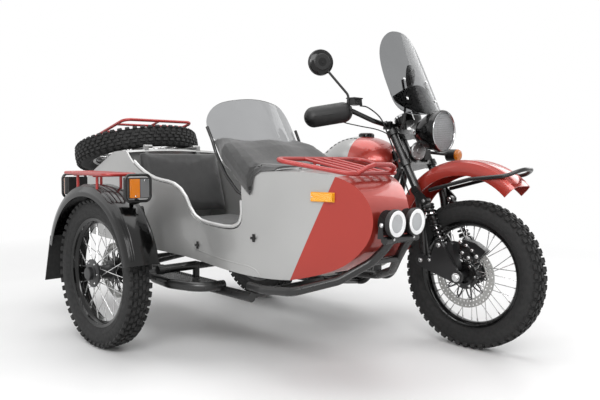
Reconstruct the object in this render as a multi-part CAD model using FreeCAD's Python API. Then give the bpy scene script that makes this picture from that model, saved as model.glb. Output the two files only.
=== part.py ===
import FreeCAD, Part
import math
import os

# A motorcycle with a sidecar fixed on its right side, in millimetres.
# +X points ahead, +Y to the rider's left and +Z up. While the pieces are made,
# the origin is on the ground under the rear axle, in the motorcycle's mid-plane.
# At the end all of them move together, so that the origin is on the ground
# under the middle of the whole outfit.

V = FreeCAD.Vector
Y_AXIS = V(0, 1, 0)
X_AXIS = V(1, 0, 0)
Z_AXIS = V(0, 0, 1)

# wheels
WHEELBASE = 1495.0
TRACK = 1240.0
SIDECAR_LEAD = 330.0
TYRE_RADIUS = 342.0
TYRE_WIDTH = 106.0
RIM_RADIUS = 240.0
RIM_WIDTH = 74.0
RIM_WALL = 5.0
RIM_FLANGE = 9.0
RIM_WELL = 14.0
HUB_RADIUS = 34.0
HUB_LENGTH = 100.0
HUB_FLANGE_RADIUS = 50.0
HUB_FLANGE_WALL = 8.0
AXLE_RADIUS = 10.0
AXLE_PLAY = 0.5
SPOKE_RADIUS = 2.4
SPOKE_COUNT = 36
SPOKE_LEAN_DEG = 34.0
LUG_HEIGHT = 9.0
LUG_COUNT = 16

# brakes
FRONT_DISC_RADIUS = 147.0
REAR_DISC_RADIUS = 128.0
DISC_WALL = 5.0
DISC_BAND = 36.0
DISC_OFFSET = 68.0
SPIDER_ARMS = 5
SPIDER_ARM_WIDTH = 16.0

# steering head and fork
RAKE_DEG = 28.9
HEAD_BACK = 391.0
HEAD_HEIGHT = 900.0
HEAD_TUBE_LENGTH = 130.0
HEAD_TUBE_RADIUS = 30.0
STEM_RADIUS = 14.0
STEM_PLAY = 1.0
HEAD_GAP = 6.0
CLAMP_WALL = 26.0
LEG_SPREAD = 105.0
LEG_RADIUS = 20.0
LEG_AHEAD = 42.0
LEG_TOP = 96.0
LEG_KNEE_DROP = 250.0
LINK_PIVOT_BACK = 192.0
LINK_PIVOT_RISE = 55.0
LINK_WALL = 16.0
LINK_HEIGHT = 58.0

# margins shared by many pieces
CUT_OVERRUN = 20.0
PIECE_GAP = 0.4
CLEARANCE = 8.0
WIRE_SIDES = 6

AXLE_HEIGHT = TYRE_RADIUS
FRONT_AXLE = V(WHEELBASE, 0, AXLE_HEIGHT)
REAR_AXLE = V(0, 0, AXLE_HEIGHT)
SIDE_AXLE = V(SIDECAR_LEAD, -TRACK, AXLE_HEIGHT)
HEAD_POINT = V(WHEELBASE - HEAD_BACK, 0, HEAD_HEIGHT)
RAKE = math.radians(RAKE_DEG)
HEAD_UP = V(-math.sin(RAKE), 0, math.cos(RAKE))
HEAD_AHEAD = V(math.cos(RAKE), 0, math.sin(RAKE))


def on_fork(ahead, left, up):
    """A point given along the steering axis, ahead of it and to its left."""
    return HEAD_POINT + HEAD_AHEAD * ahead + V(0, left, 0) + HEAD_UP * up


def cylinder(start, end, radius):
    return Part.makeCylinder(radius, (end - start).Length, start, end - start)


def box(low, high):
    size = high - low
    return Part.makeBox(size.x, size.y, size.z, low)


def join(shapes):
    """One solid out of pieces that run into each other."""
    whole = shapes[0].multiFuse(shapes[1:]) if len(shapes) > 1 else shapes[0]
    return whole.removeSplitter()


def corner_path(points, radius, closed=False):
    """Straight runs joined by tangent arcs, as large as the runs allow."""
    count = len(points)
    ends = []
    arcs = []
    for i, point in enumerate(points):
        if not closed and i in (0, count - 1):
            ends.append((point, point))
            arcs.append(None)
            continue
        before = points[i - 1] - point
        after = points[(i + 1) % count] - point
        turn = math.pi - before.getAngle(after)
        if turn < 0.02:
            ends.append((point, point))
            arcs.append(None)
            continue
        reach = min(radius * math.tan(turn / 2), before.Length * 0.48, after.Length * 0.48)
        start = point + before.normalize() * reach
        end = point + after.normalize() * reach
        bend = reach / math.tan(turn / 2)
        inward = (before + after).normalize()
        middle = point + inward * (bend / math.cos(turn / 2) - bend)
        ends.append((start, end))
        arcs.append(Part.Arc(start, middle, end).toShape())
    edges = []
    last = count if closed else count - 1
    for i in range(last):
        if arcs[i] is not None:
            edges.append(arcs[i])
        run_start = ends[i][1]
        run_end = ends[(i + 1) % count][0]
        if (run_end - run_start).Length > 0.001:
            edges.append(Part.LineSegment(run_start, run_end).toShape())
    return Part.Wire(edges)


def rod(points, radius, bend=60.0, closed=False):
    """A round bar or tube bent through the points."""
    if len(points) == 2:
        return cylinder(points[0], points[1], radius)
    path = corner_path(points, bend, closed)
    first = path.Edges[0]
    start = first.valueAt(first.FirstParameter)
    heading = first.tangentAt(first.FirstParameter)
    if path.Vertexes[0].Point.distanceToPoint(start) > 0.001:
        start = path.Vertexes[0].Point
    ring = Part.Wire([Part.Circle(start, heading, radius).toShape()])
    return path.makePipeShell([ring], True, False)


def facet_rod(start, end, radius):
    """A thin six-sided wire between two points."""
    along = (end - start).normalize()
    across = along.cross(Z_AXIS if abs(along.z) < 0.9 else X_AXIS).normalize()
    corners = []
    for i in range(WIRE_SIDES):
        turn = FreeCAD.Rotation(along, 360.0 * i / WIRE_SIDES)
        corners.append(start + turn.multVec(across * radius))
    return Part.Face(Part.makePolygon(corners + corners[:1])).extrude(end - start)


def spin(profile, centre, axis, degrees=360.0):
    """Revolve a flat closed outline."""
    return Part.Face(profile).revolve(centre, axis, degrees)


def ring_outline(points):
    """A closed outline of (radius, along axis) points, ready to spin about Y."""
    corners = [V(radius, along, 0) for radius, along in points]
    return Part.makePolygon(corners + corners[:1])


def side_plate(points, inner, outer):
    """A flat plate with an outline in x and z, from one y to another."""
    corners = [V(x, inner, z) for x, z in points]
    face = Part.Face(Part.makePolygon(corners + corners[:1]))
    return face.extrude(V(0, outer - inner, 0))


def bar_plate(start, end, half, inner, outer):
    """A flat link with round ends, lying in x and z."""
    along = (end - start).normalize()
    across = V(-along.z, 0, along.x) * half
    body = side_plate([((start + across).x, (start + across).z), ((end + across).x, (end + across).z),
                       ((end - across).x, (end - across).z), ((start - across).x, (start - across).z)],
                      inner, outer)
    rounds = [cylinder(V(p.x, inner, p.z), V(p.x, outer, p.z), half) for p in (start, end)]
    return join([body] + rounds)


# Wheels lie in x and z about the origin, with the axle along y.

SHOULDER_HALF = TYRE_WIDTH * 0.45
SHOULDER_DROP = 15.0
BEAD_HALF = RIM_WIDTH / 2 - RIM_WALL


def turned(point, degrees):
    """A point of the wheel's section, turned about the axle."""
    turn = math.radians(degrees)
    return V(point[0] * math.cos(turn), point[1], point[0] * math.sin(turn))


def sector(section, first_deg, last_deg):
    """A flat-sided slice of a ring: one closed section between two angles."""
    near = [turned(p, first_deg) for p in section]
    far = [turned(p, last_deg) for p in section]
    count = len(section)
    faces = [Part.Face(Part.makePolygon(near + near[:1])), Part.Face(Part.makePolygon(far + far[:1]))]
    for i in range(count):
        j = (i + 1) % count
        faces.append(Part.Face(Part.makePolygon([near[i], near[j], far[j], far[i], near[i]])))
    return Part.makeSolid(Part.makeShell(faces))


def tyre():
    """Carcass with two staggered rows of tread lugs, out to the lugs' tips."""
    pitch = 360.0 / (LUG_COUNT * 2)
    grown = 1 / math.cos(math.radians(pitch / 2))
    tip = TYRE_RADIUS * grown
    base = (TYRE_RADIUS - LUG_HEIGHT) * grown
    depth = base - RIM_RADIUS
    seat = RIM_RADIUS * grown + PIECE_GAP / 4
    half = [(seat, BEAD_HALF), (seat + RIM_FLANGE, BEAD_HALF),
            (RIM_RADIUS + depth * 0.36, TYRE_WIDTH * 0.475), (RIM_RADIUS + depth * 0.6, TYRE_WIDTH * 0.5),
            (base - SHOULDER_DROP, SHOULDER_HALF), (base, SHOULDER_HALF * 0.86)]
    section = half + [(r, -y) for r, y in reversed(half)]
    pieces = []
    for i in range(LUG_COUNT * 2):
        pieces.append(sector(section, pitch * (i - 0.5), pitch * (i + 0.5)))
        side = 1 if i % 2 else -1
        lug = [(base - SHOULDER_DROP * 0.6, side * SHOULDER_HALF * 0.98), (tip, side * SHOULDER_HALF * 0.9),
               (tip, side * SHOULDER_HALF * 0.08), (base - SHOULDER_DROP * 0.6, side * SHOULDER_HALF * 0.08)]
        pieces.append(sector(lug, pitch * (i - 0.5), pitch * (i + 0.5)))
    return join(pieces)


def rim():
    half = RIM_WIDTH / 2
    flange = RIM_RADIUS + RIM_FLANGE
    seat_end = half - RIM_WIDTH * 0.22
    well = RIM_RADIUS - RIM_WELL
    outer = [(flange, half), (flange, half - RIM_WALL), (RIM_RADIUS, half - RIM_WALL),
             (RIM_RADIUS, seat_end), (well, seat_end - RIM_WELL)]
    inner = [(well - RIM_WALL, seat_end - RIM_WELL), (RIM_RADIUS - RIM_WALL, seat_end),
             (RIM_RADIUS - RIM_WALL, half)]
    half_outline = outer + [(r, -y) for r, y in reversed(outer)]
    back = [(r, -y) for r, y in reversed(inner)] + inner
    return spin(ring_outline(half_outline + back), V(), Y_AXIS)


def hub():
    half = HUB_LENGTH / 2
    flange_in = half - HUB_FLANGE_WALL * 2
    bore = AXLE_RADIUS + AXLE_PLAY
    right = [(bore, half), (HUB_RADIUS, half), (HUB_RADIUS, half - HUB_FLANGE_WALL),
             (HUB_FLANGE_RADIUS, half - HUB_FLANGE_WALL), (HUB_FLANGE_RADIUS, flange_in),
             (HUB_RADIUS, flange_in)]
    return spin(ring_outline(right + [(r, -y) for r, y in reversed(right)]), V(), Y_AXIS)


def spokes():
    """Crossed wire spokes from both hub flanges to the well of the rim."""
    lean = math.radians(SPOKE_LEAN_DEG)
    hub_reach = HUB_FLANGE_RADIUS - SPOKE_RADIUS * 3
    rim_reach = RIM_RADIUS - RIM_WELL - RIM_WALL / 2
    flange_y = HUB_LENGTH / 2 - HUB_FLANGE_WALL * 1.5
    rim_y = RIM_WELL / 2
    wires = []
    for i in range(SPOKE_COUNT):
        side = 1 if i % 2 else -1
        cross = 1 if i % 4 < 2 else -1
        turn = 2 * math.pi * i / SPOKE_COUNT
        root = turn + cross * lean
        start = V(hub_reach * math.cos(root), side * flange_y, hub_reach * math.sin(root))
        end = V(rim_reach * math.cos(turn), side * rim_y, rim_reach * math.sin(turn))
        wires.append(facet_rod(start, end, SPOKE_RADIUS))
    return wires


def wire_wheel():
    return join([rim(), hub()] + spokes())


def brake_disc(radius, side):
    """Disc ring on a star of arms, bolted to one side of the hub."""
    face = side * DISC_OFFSET
    back = face - side * DISC_WALL
    low, high = min(face, back), max(face, back)
    bore = AXLE_RADIUS + AXLE_PLAY
    band = cylinder(V(0, low, 0), V(0, high, 0), radius)
    band = band.cut(cylinder(V(0, low - CUT_OVERRUN, 0), V(0, high + CUT_OVERRUN, 0), radius - DISC_BAND))
    arms = []
    for i in range(SPIDER_ARMS):
        arm = box(V(0, low, -SPIDER_ARM_WIDTH / 2), V(radius - DISC_BAND / 2, high, SPIDER_ARM_WIDTH / 2))
        arm.rotate(V(), Y_AXIS, 360.0 * i / SPIDER_ARMS)
        arms.append(arm)
    hub_end = side * (HUB_LENGTH / 2 + PIECE_GAP / 4)
    carrier = cylinder(V(0, hub_end, 0), V(0, face, 0), HUB_RADIUS)
    whole = join([band, carrier] + arms)
    reach = CUT_OVERRUN + DISC_OFFSET
    return whole.cut(cylinder(V(0, -reach, 0), V(0, reach, 0), bore))


def moved(shape, place):
    """A copy of a piece, carried from the origin to its place."""
    piece = shape.copy()
    piece.translate(place)
    return piece


# Fork: two bent legs, leading links, shocks, clamps and what they carry.

BOSS_HALF = LEG_RADIUS * 0.94
LINK_Y = LEG_SPREAD + LEG_RADIUS + PIECE_GAP
LINK_PIVOT = FRONT_AXLE + V(-LINK_PIVOT_BACK, 0, LINK_PIVOT_RISE)
SHOCK_EYE_BACK = 97.0
SHOCK_EYE_RISE = 136.0
SHOCK_TOP_BACK = 192.0
SHOCK_TOP_RISE = 333.0
SHOCK_COIL_RADIUS = 27.0
SHOCK_BODY_RADIUS = 15.0
SHOCK_EYE_RADIUS = 13.0
COIL_WIRE_RADIUS = 5.0
COIL_TURNS = 7
LUG_EYE_RADIUS = 20.0
CALIPER_FIRST_DEG = 92.0
CALIPER_LAST_DEG = 48.0
CALIPER_WIDTH = 40.0


def fork_leg(side):
    """One leg: straight at the clamps, then swept back to the link's pivot."""
    left = side * LEG_SPREAD
    top = on_fork(LEG_AHEAD, left, LEG_TOP)
    knee = on_fork(LEG_AHEAD, left, -LEG_KNEE_DROP)
    foot = LINK_PIVOT + V(0, left, 0)
    return rod([top, knee, foot], LEG_RADIUS, LEG_KNEE_DROP)


def fork_clamp(up):
    """A yoke plate that holds both legs and the stem."""
    bridge = []
    for side in (-1, 1):
        bridge.append(cylinder(on_fork(LEG_AHEAD, side * LEG_SPREAD, up),
                               on_fork(LEG_AHEAD, side * LEG_SPREAD, up + CLAMP_WALL),
                               LEG_RADIUS * 1.5))
    middle = cylinder(on_fork(0, 0, up), on_fork(0, 0, up + CLAMP_WALL), STEM_RADIUS * 1.6)
    right = [on_fork(LEG_AHEAD + LEG_RADIUS, -LEG_SPREAD, up), on_fork(LEG_AHEAD - LEG_RADIUS, -LEG_SPREAD, up),
             on_fork(-STEM_RADIUS, -STEM_RADIUS * 1.6, up)]
    corners = right + [V(p.x, -p.y, p.z) for p in reversed(right)]
    plate = Part.Face(Part.makePolygon(corners + corners[:1])).extrude(HEAD_UP * CLAMP_WALL)
    return [plate, middle] + bridge


def fork_frame():
    half = HEAD_TUBE_LENGTH / 2
    upper = fork_clamp(half + HEAD_GAP)
    lower = fork_clamp(-half - HEAD_GAP - CLAMP_WALL)
    stem = cylinder(on_fork(0, 0, -half - HEAD_GAP), on_fork(0, 0, half + HEAD_GAP), STEM_RADIUS)
    legs = []
    for side in (-1, 1):
        left = side * LEG_SPREAD
        legs.append(fork_leg(side))
        eye = FRONT_AXLE + V(-SHOCK_TOP_BACK, 0, SHOCK_TOP_RISE)
        shelf = on_fork(LEG_AHEAD, left, -LEG_KNEE_DROP * 0.9)
        near = left + side * (SHOCK_BODY_RADIUS + PIECE_GAP)
        legs.append(bar_plate(V(shelf.x, 0, shelf.z), eye, LUG_EYE_RADIUS, near, near + side * LINK_WALL / 2))
        boss = LINK_PIVOT + V(0, left, 0)
        legs.append(cylinder(boss - Y_AXIS * BOSS_HALF, boss + Y_AXIS * BOSS_HALF, LINK_HEIGHT * 0.45))
    return join(upper + lower + [stem] + legs)


def fork_links():
    """Both leading links with their axle, fused as one swinging arm."""
    pieces = [cylinder(FRONT_AXLE - Y_AXIS * (LINK_Y + LINK_WALL), FRONT_AXLE + Y_AXIS * (LINK_Y + LINK_WALL),
                       AXLE_RADIUS)]
    eye = FRONT_AXLE + V(-SHOCK_EYE_BACK, 0, SHOCK_EYE_RISE)
    for side in (-1, 1):
        near, far = side * LINK_Y, side * (LINK_Y + LINK_WALL)
        pieces.append(bar_plate(LINK_PIVOT, FRONT_AXLE, LINK_HEIGHT / 2, near, far))
        middle = (LINK_PIVOT + FRONT_AXLE) / 2
        pieces.append(side_plate([(middle.x - LINK_HEIGHT, middle.z), (eye.x - LUG_EYE_RADIUS, eye.z),
                                  (eye.x + LUG_EYE_RADIUS, eye.z), (FRONT_AXLE.x, FRONT_AXLE.z)], near, far))
        pieces.append(bar_plate(eye, FRONT_AXLE, LUG_EYE_RADIUS, near, far))
        collar = HUB_LENGTH / 2 + CLEARANCE if side > 0 else -DISC_OFFSET - CLEARANCE
        pieces.append(cylinder(FRONT_AXLE + Y_AXIS * collar, FRONT_AXLE + Y_AXIS * near, AXLE_RADIUS * 2))
        pin = side * (LEG_SPREAD + SHOCK_BODY_RADIUS + PIECE_GAP)
        pieces.append(cylinder(eye + Y_AXIS * pin, eye + Y_AXIS * near, SHOCK_EYE_RADIUS))
    return join(pieces)


def front_caliper():
    """Brake caliper over the disc's upper front edge, on a bracket from the link."""
    outer = FRONT_DISC_RADIUS * 1.14
    inner = FRONT_DISC_RADIUS * 0.66
    corners = []
    for reach, degrees in ((outer, CALIPER_FIRST_DEG), (outer, (CALIPER_FIRST_DEG + CALIPER_LAST_DEG) / 2),
                           (outer, CALIPER_LAST_DEG), (inner, CALIPER_LAST_DEG), (inner, CALIPER_FIRST_DEG)):
        turn = math.radians(degrees)
        corners.append((FRONT_AXLE.x + reach * math.cos(turn), FRONT_AXLE.z + reach * math.sin(turn)))
    face = -DISC_OFFSET + DISC_WALL / 2
    body = side_plate(corners, face - CALIPER_WIDTH / 2, face + CALIPER_WIDTH / 2)
    slot_half = DISC_WALL / 2 + CLEARANCE * 0.7
    slot = cylinder(FRONT_AXLE + Y_AXIS * (face - slot_half), FRONT_AXLE + Y_AXIS * (face + slot_half),
                    FRONT_DISC_RADIUS + CLEARANCE * 0.7)
    eye = FRONT_AXLE + V(-SHOCK_EYE_BACK / 2, 0, SHOCK_EYE_RISE)
    target = V((corners[4][0] + corners[0][0]) / 2, 0, (corners[4][1] + corners[0][1]) / 2)
    inside = face - CALIPER_WIDTH / 2
    arm = bar_plate(eye, target, LUG_EYE_RADIUS, inside - LINK_WALL / 2, inside)
    foot = bar_plate(FRONT_AXLE + V(-LUG_EYE_RADIUS, 0, LUG_EYE_RADIUS * 2), eye, LUG_EYE_RADIUS * 0.8,
                     -LINK_Y + PIECE_GAP, inside)
    return join([body.cut(slot), arm, foot])


def shock(top, bottom, coil_radius, turns):
    """A coil spring damper between two eyes."""
    along = (bottom - top).normalize()
    length = (bottom - top).Length
    body = cylinder(top, bottom, SHOCK_BODY_RADIUS)
    eyes = [cylinder(p - Y_AXIS * SHOCK_EYE_RADIUS, p + Y_AXIS * SHOCK_EYE_RADIUS, SHOCK_EYE_RADIUS * 1.2)
            for p in (top, bottom)]
    coil_start = top + along * (length * 0.16)
    coil_end = top + along * (length * 0.84)
    cups = [cylinder(coil_start, coil_start + along * COIL_WIRE_RADIUS * 2, coil_radius),
            cylinder(coil_end - along * COIL_WIRE_RADIUS * 2, coil_end, coil_radius)]
    pitch = (coil_end - coil_start).Length / (turns + 1)
    rings = []
    for i in range(turns):
        centre = coil_start + along * pitch * (i + 1)
        for ahead in (-1, 1):
            rings.append(Part.makeCone(coil_radius, SHOCK_BODY_RADIUS, pitch * 0.45, centre, along * ahead))
    return join([body] + eyes + cups + rings)


def fork_shocks():
    pair = []
    for side in (-1, 1):
        left = side * LEG_SPREAD
        top = FRONT_AXLE + V(-SHOCK_TOP_BACK, left, SHOCK_TOP_RISE)
        bottom = FRONT_AXLE + V(-SHOCK_EYE_BACK, left, SHOCK_EYE_RISE)
        pair.append(shock(top, bottom, SHOCK_COIL_RADIUS, COIL_TURNS))
    return Part.makeCompound(pair)


# Front fender: a crowned band about its own centre, above and behind the wheel.

FENDER_RADIUS = 380.0
FENDER_HALF = 80.0
FENDER_DEPTH = 72.0
FENDER_WALL = 4.0
FENDER_BACK = 27.0
FENDER_RISE = 148.0
FENDER_FRONT_DEG = 45.5
FENDER_REAR_DEG = 193.0
HOOP_RADIUS = 9.0


def fender_section(radius, half, depth, wall):
    """Half round crown with straight skirts, as a (radius, along) outline."""
    flat = half * 0.62
    outer = [(radius - depth, half), (radius - half * 0.45, half), (radius - half * 0.16, half * 0.9),
             (radius - half * 0.03, flat)]
    outer = outer + [(r, -y) for r, y in reversed(outer)]
    inner = [(radius - depth, half - wall), (radius - half * 0.45, half - wall),
             (radius - half * 0.16 - wall * 0.7, half * 0.9 - wall * 0.7), (radius - half * 0.03 - wall, flat)]
    inner = inner + [(r, -y) for r, y in reversed(inner)]
    return ring_outline(outer + inner[::-1])


def arc_fender(centre, radius, half, depth, wall, first_deg, last_deg):
    """A fender swept about an axle line, from one angle above the front to another."""
    band = spin(fender_section(radius, half, depth, wall), V(), Y_AXIS, last_deg - first_deg)
    band.rotate(V(), Y_AXIS, -last_deg)
    return moved(band, centre)


def front_fender():
    centre = FRONT_AXLE + V(-FENDER_BACK, 0, FENDER_RISE)
    return arc_fender(centre, FENDER_RADIUS, FENDER_HALF, FENDER_DEPTH, FENDER_WALL, FENDER_FRONT_DEG,
                      FENDER_REAR_DEG)


def fender_hoop():
    """Tube guard along the fender's lower edge, round ahead of its tip."""
    out = FENDER_HALF + HOOP_RADIUS + PIECE_GAP
    centre = FRONT_AXLE + V(-FENDER_BACK, 0, FENDER_RISE)
    shares = ((-0.42, 0.62, 1.0), (0.15, 0.774, 1.0), (0.59, 0.824, 1.0), (0.737, 0.9, 0.55))
    left = [centre + V(x * FENDER_RADIUS, y * out, z * FENDER_RADIUS) for x, z, y in shares]
    return rod(left + [V(p.x, -p.y, p.z) for p in reversed(left)], HOOP_RADIUS, FENDER_HALF)


# Handlebar, guards and mirrors.

BAR_RADIUS = 12.0
GRIP_RADIUS = 17.0
BAR_HALF = 425.0
BAR_CLAMP_RISE = 34.0
BAR_RISE = 72.0
BAR_SWEEP = 190.0
GRIP_LENGTH = 135.0
GUARD_RADIUS = 50.0
GUARD_DROP = 12.0
GUARD_WALL = 4.0
MIRROR_RADIUS = 62.0
MIRROR_TURN_DEG = 25.0
MIRROR_WALL = 16.0
STALK_RADIUS = 6.0


def bar_points(side):
    """The handlebar's bends on one side, from its middle out."""
    base = on_fork(LEG_AHEAD * 0.2, 0, LEG_TOP + LEG_RADIUS + BAR_CLAMP_RISE)
    shares = ((0.0, 0.17, 0.0), (-0.08, 0.38, 0.25), (-0.45, 0.6, 0.95), (-0.62, 0.72, 0.9), (-1.0, 1.0, 0.55))
    return [base + V(x * BAR_SWEEP, side * y * BAR_HALF, z * BAR_RISE) for x, y, z in shares]


def handlebar():
    right = bar_points(-1)
    left = bar_points(1)
    bar = rod(right[::-1] + left, BAR_RADIUS, BAR_SWEEP * 0.4)
    pieces = [bar]
    for side, points in ((-1, right), (1, left)):
        inward = (points[-2] - points[-1]).normalize()
        pieces.append(cylinder(points[-1], points[-1] + inward * GRIP_LENGTH, GRIP_RADIUS))
        perch = points[-1] + inward * (GRIP_LENGTH + GRIP_RADIUS)
        collar = perch - inward * GRIP_RADIUS
        pieces.append(cylinder(collar, collar + inward * GRIP_RADIUS * 2.6, GRIP_RADIUS * 1.2))
        pod = perch + V(GRIP_RADIUS * 1.6, 0, 0)
        pieces.append(rod([pod - inward * GRIP_RADIUS * 2, pod + inward * GRIP_RADIUS * 2], GRIP_RADIUS * 0.9))
        pieces.append(rod([perch, pod], GRIP_RADIUS * 0.7))
        tip = points[-1] + V(GRIP_RADIUS * 2.1, 0, 0)
        pieces.append(rod([pod, tip], BAR_RADIUS * 0.5))
    stem = on_fork(LEG_AHEAD * 0.2, 0, HEAD_TUBE_LENGTH / 2 + HEAD_GAP + CLAMP_WALL)
    for side in (-1, 1):
        foot = stem + Y_AXIS * side * BAR_HALF * 0.1
        head = right[0] - Y_AXIS * right[0].y + Y_AXIS * side * BAR_HALF * 0.1
        pieces.append(cylinder(foot, head, BAR_RADIUS * 1.3))
    return join(pieces)


def capsule(start, end, radius):
    """A cylinder with round ends."""
    return join([cylinder(start, end, radius), Part.makeSphere(radius, start), Part.makeSphere(radius, end)])


def guard_shell(side):
    """A shell with round ends ahead of one grip."""
    points = bar_points(side)
    inward = (points[-2] - points[-1]).normalize()
    ahead = V(abs(inward.y), -inward.x * side, 0).normalize()
    start = points[-1] + inward * GRIP_RADIUS - Z_AXIS * GUARD_DROP
    end = points[-1] + inward * GRIP_LENGTH * 1.2 - Z_AXIS * GUARD_DROP
    shell = capsule(start, end, GUARD_RADIUS).cut(capsule(start, end, GUARD_RADIUS - GUARD_WALL))
    reach = GUARD_RADIUS * 3
    near, far = start - inward * reach, end + inward * reach
    corners = [V(p.x, p.y, 0) for p in (near, far, far - ahead * reach, near - ahead * reach)]
    rear = Part.Face(Part.makePolygon(corners + corners[:1])).extrude(V(0, 0, reach * 2))
    rear.translate(V(0, 0, start.z - reach))
    return shell.cut(rear)


def hand_guards():
    return Part.makeCompound([guard_shell(side) for side in (-1, 1)])


def mirror_place(side):
    foot = bar_points(side)[2] + V(0, side * GRIP_RADIUS, 0)
    knee = foot + V(0, 0, BAR_RISE)
    plate = foot + V(-BAR_SWEEP * 0.52, side * BAR_HALF * 0.22, BAR_RISE * 3.16)
    return foot, knee, plate


def mirrors():
    pair = []
    for side in (-1, 1):
        foot, knee, plate = mirror_place(side)
        stalk = rod([foot + V(0, 0, BAR_RADIUS + PIECE_GAP), knee, plate], STALK_RADIUS, BAR_RISE * 0.5)
        turn = math.radians(MIRROR_TURN_DEG)
        facing = V(math.cos(turn), side * math.sin(turn), 0)
        face = plate + facing * MIRROR_WALL / 2
        glass = cylinder(plate - facing * MIRROR_WALL / 2, face, MIRROR_RADIUS)
        back = Part.makeCone(MIRROR_RADIUS, MIRROR_RADIUS * 0.6, MIRROR_WALL, face, facing)
        pair.append(join([stalk, glass, back]))
    return Part.makeCompound(pair)


# Headlamp, instruments, screen and signals.

LAMP_RADIUS = 100.0
LAMP_DEPTH = 135.0
LAMP_AHEAD = 216.0
LAMP_RISE = 102.0
LAMP_RIM = 12.0
EAR_WALL = 5.0
SCREEN_HALF = 190.0
SCREEN_WALL = 4.0
SCREEN_HEIGHT = 470.0
SCREEN_LEAN_DEG = 26.0
SCREEN_CURVE = 420.0
SIGNAL_RADIUS = 30.0
SIGNAL_DEPTH = 52.0

LAMP_FACE = HEAD_POINT + V(LAMP_AHEAD, 0, LAMP_RISE)


def headlamp():
    """Round bucket with a bezel and a domed lens, facing ahead."""
    r = LAMP_RADIUS
    outline = [V(0, 0, 0), V(r, 0, 0), V(r, -LAMP_RIM * 2, 0), V(r * 0.92, -LAMP_RIM * 2, 0),
               V(r * 0.86, -LAMP_DEPTH * 0.55, 0), V(r * 0.6, -LAMP_DEPTH * 0.88, 0), V(0, -LAMP_DEPTH, 0)]
    bucket = spin(Part.makePolygon(outline + outline[:1]), V(), Y_AXIS)
    sphere_radius = r * 2
    dome_half = r * 0.9
    sunk = math.sqrt(sphere_radius ** 2 - dome_half ** 2)
    dome = Part.makeSphere(sphere_radius, V(0, -sunk, 0)).common(
        Part.makeCylinder(dome_half, r, V(0, -LAMP_RIM, 0), Y_AXIS))
    lamp = join([bucket, dome])
    lamp.rotate(V(), Z_AXIS, -90)
    return moved(lamp, LAMP_FACE)


def lamp_ears():
    """Tapered side plates from the fork's top forward to the lamp's sides."""
    pair = []
    upper = on_fork(LEG_AHEAD, 0, LEG_TOP * 0.9)
    lower = on_fork(LEG_AHEAD, 0, HEAD_TUBE_LENGTH * 0.05)
    end = LAMP_FACE + V(-LAMP_DEPTH * 0.4, 0, 0)
    near = LEG_SPREAD + LEG_RADIUS + PIECE_GAP
    outline = [(upper.x, upper.z), (end.x, end.z + LAMP_RADIUS * 0.42), (end.x + LEG_RADIUS, end.z),
               (end.x, end.z - LAMP_RADIUS * 0.42), (lower.x, lower.z)]
    for side in (-1, 1):
        pair.append(side_plate(outline, side * near, side * (near + EAR_WALL)))
        root = V(end.x, side * LAMP_RADIUS * 0.8, end.z)
        pair.append(cylinder(root, V(end.x, side * (near + EAR_WALL), end.z), LEG_RADIUS * 0.7))
    return pair


def instruments():
    """Round speedometer case over the top clamp."""
    place = on_fork(LEG_AHEAD * 1.6, 0, LEG_TOP + LEG_RADIUS * 2.4)
    case = cylinder(place - HEAD_UP * LEG_RADIUS, place + HEAD_UP * LEG_RADIUS, LAMP_RADIUS * 0.48)
    foot = cylinder(on_fork(LEG_AHEAD, 0, LEG_TOP), place, BAR_RADIUS)
    return join([case, foot])


def screen_edge():
    """Half of the screen's outline, as shares of its half width and height."""
    return ((0.0, 0.0), (0.6, 0.015), (0.92, 0.1), (1.0, 0.3), (0.96, 0.6), (0.74, 0.86), (0.4, 0.975),
            (0.0, 1.0))


def bike_screen():
    """A tall screen, bowed round the lamp and leaning back."""
    shell = Part.makeCylinder(SCREEN_CURVE, SCREEN_HEIGHT * 1.2, V(-SCREEN_CURVE, 0, -SCREEN_HEIGHT * 0.1), Z_AXIS)
    shell = shell.cut(Part.makeCylinder(SCREEN_CURVE - SCREEN_WALL, SCREEN_HEIGHT * 1.4,
                                        V(-SCREEN_CURVE, 0, -SCREEN_HEIGHT * 0.2), Z_AXIS))
    half = [V(0, y * SCREEN_HALF, z * SCREEN_HEIGHT) for y, z in screen_edge()]
    other = [V(0, -p.y, p.z) for p in reversed(half[1:-1])]
    outline = Part.BSplineCurve()
    outline.interpolate(half + other, PeriodicFlag=True)
    cutter = Part.Face(Part.Wire([outline.toShape()])).extrude(V(-SCREEN_CURVE * 0.9, 0, 0))
    cutter.translate(V(CUT_OVERRUN, 0, 0))
    screen = shell.common(cutter)
    screen.rotate(V(), Y_AXIS, -SCREEN_LEAN_DEG)
    return moved(screen, SCREEN_FOOT)


SCREEN_FOOT = LAMP_FACE + V(-LAMP_DEPTH * 0.55, 0, LAMP_RADIUS * 0.8)


def front_signals():
    """The left turn signal; the sidecar's lamps stand for the right one."""
    root = on_fork(LEG_AHEAD + LEG_RADIUS * 2, LEG_SPREAD - LEG_RADIUS, -HEAD_TUBE_LENGTH * 0.3)
    end = root + V(SIGNAL_DEPTH * 1.25, SIGNAL_DEPTH * 2.0, -SIGNAL_DEPTH * 0.3)
    stalk = cylinder(root - X_AXIS * LEG_RADIUS * 2, end, STALK_RADIUS * 1.3)
    body = cylinder(end - X_AXIS * SIGNAL_DEPTH * 0.6, end + X_AXIS * SIGNAL_DEPTH * 0.4, SIGNAL_RADIUS)
    return join([stalk, body])


# Motorcycle frame: a double cradle of tubes behind the steering head.

FRAME_HALF = 105.0
FRAME_TUBE = 17.0
BACKBONE_TUBE = 22.0
SEAT_HEIGHT = 820.0
FRAME_POINT_LOW = SEAT_HEIGHT * 0.287
SHOCK_RADIUS = 30.0


def frame_points(shares, side=1):
    """Frame points as shares of wheelbase, half width and seat height."""
    return [V(x * WHEELBASE, side * y * FRAME_HALF, z * SEAT_HEIGHT) for x, y, z in shares]


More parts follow.
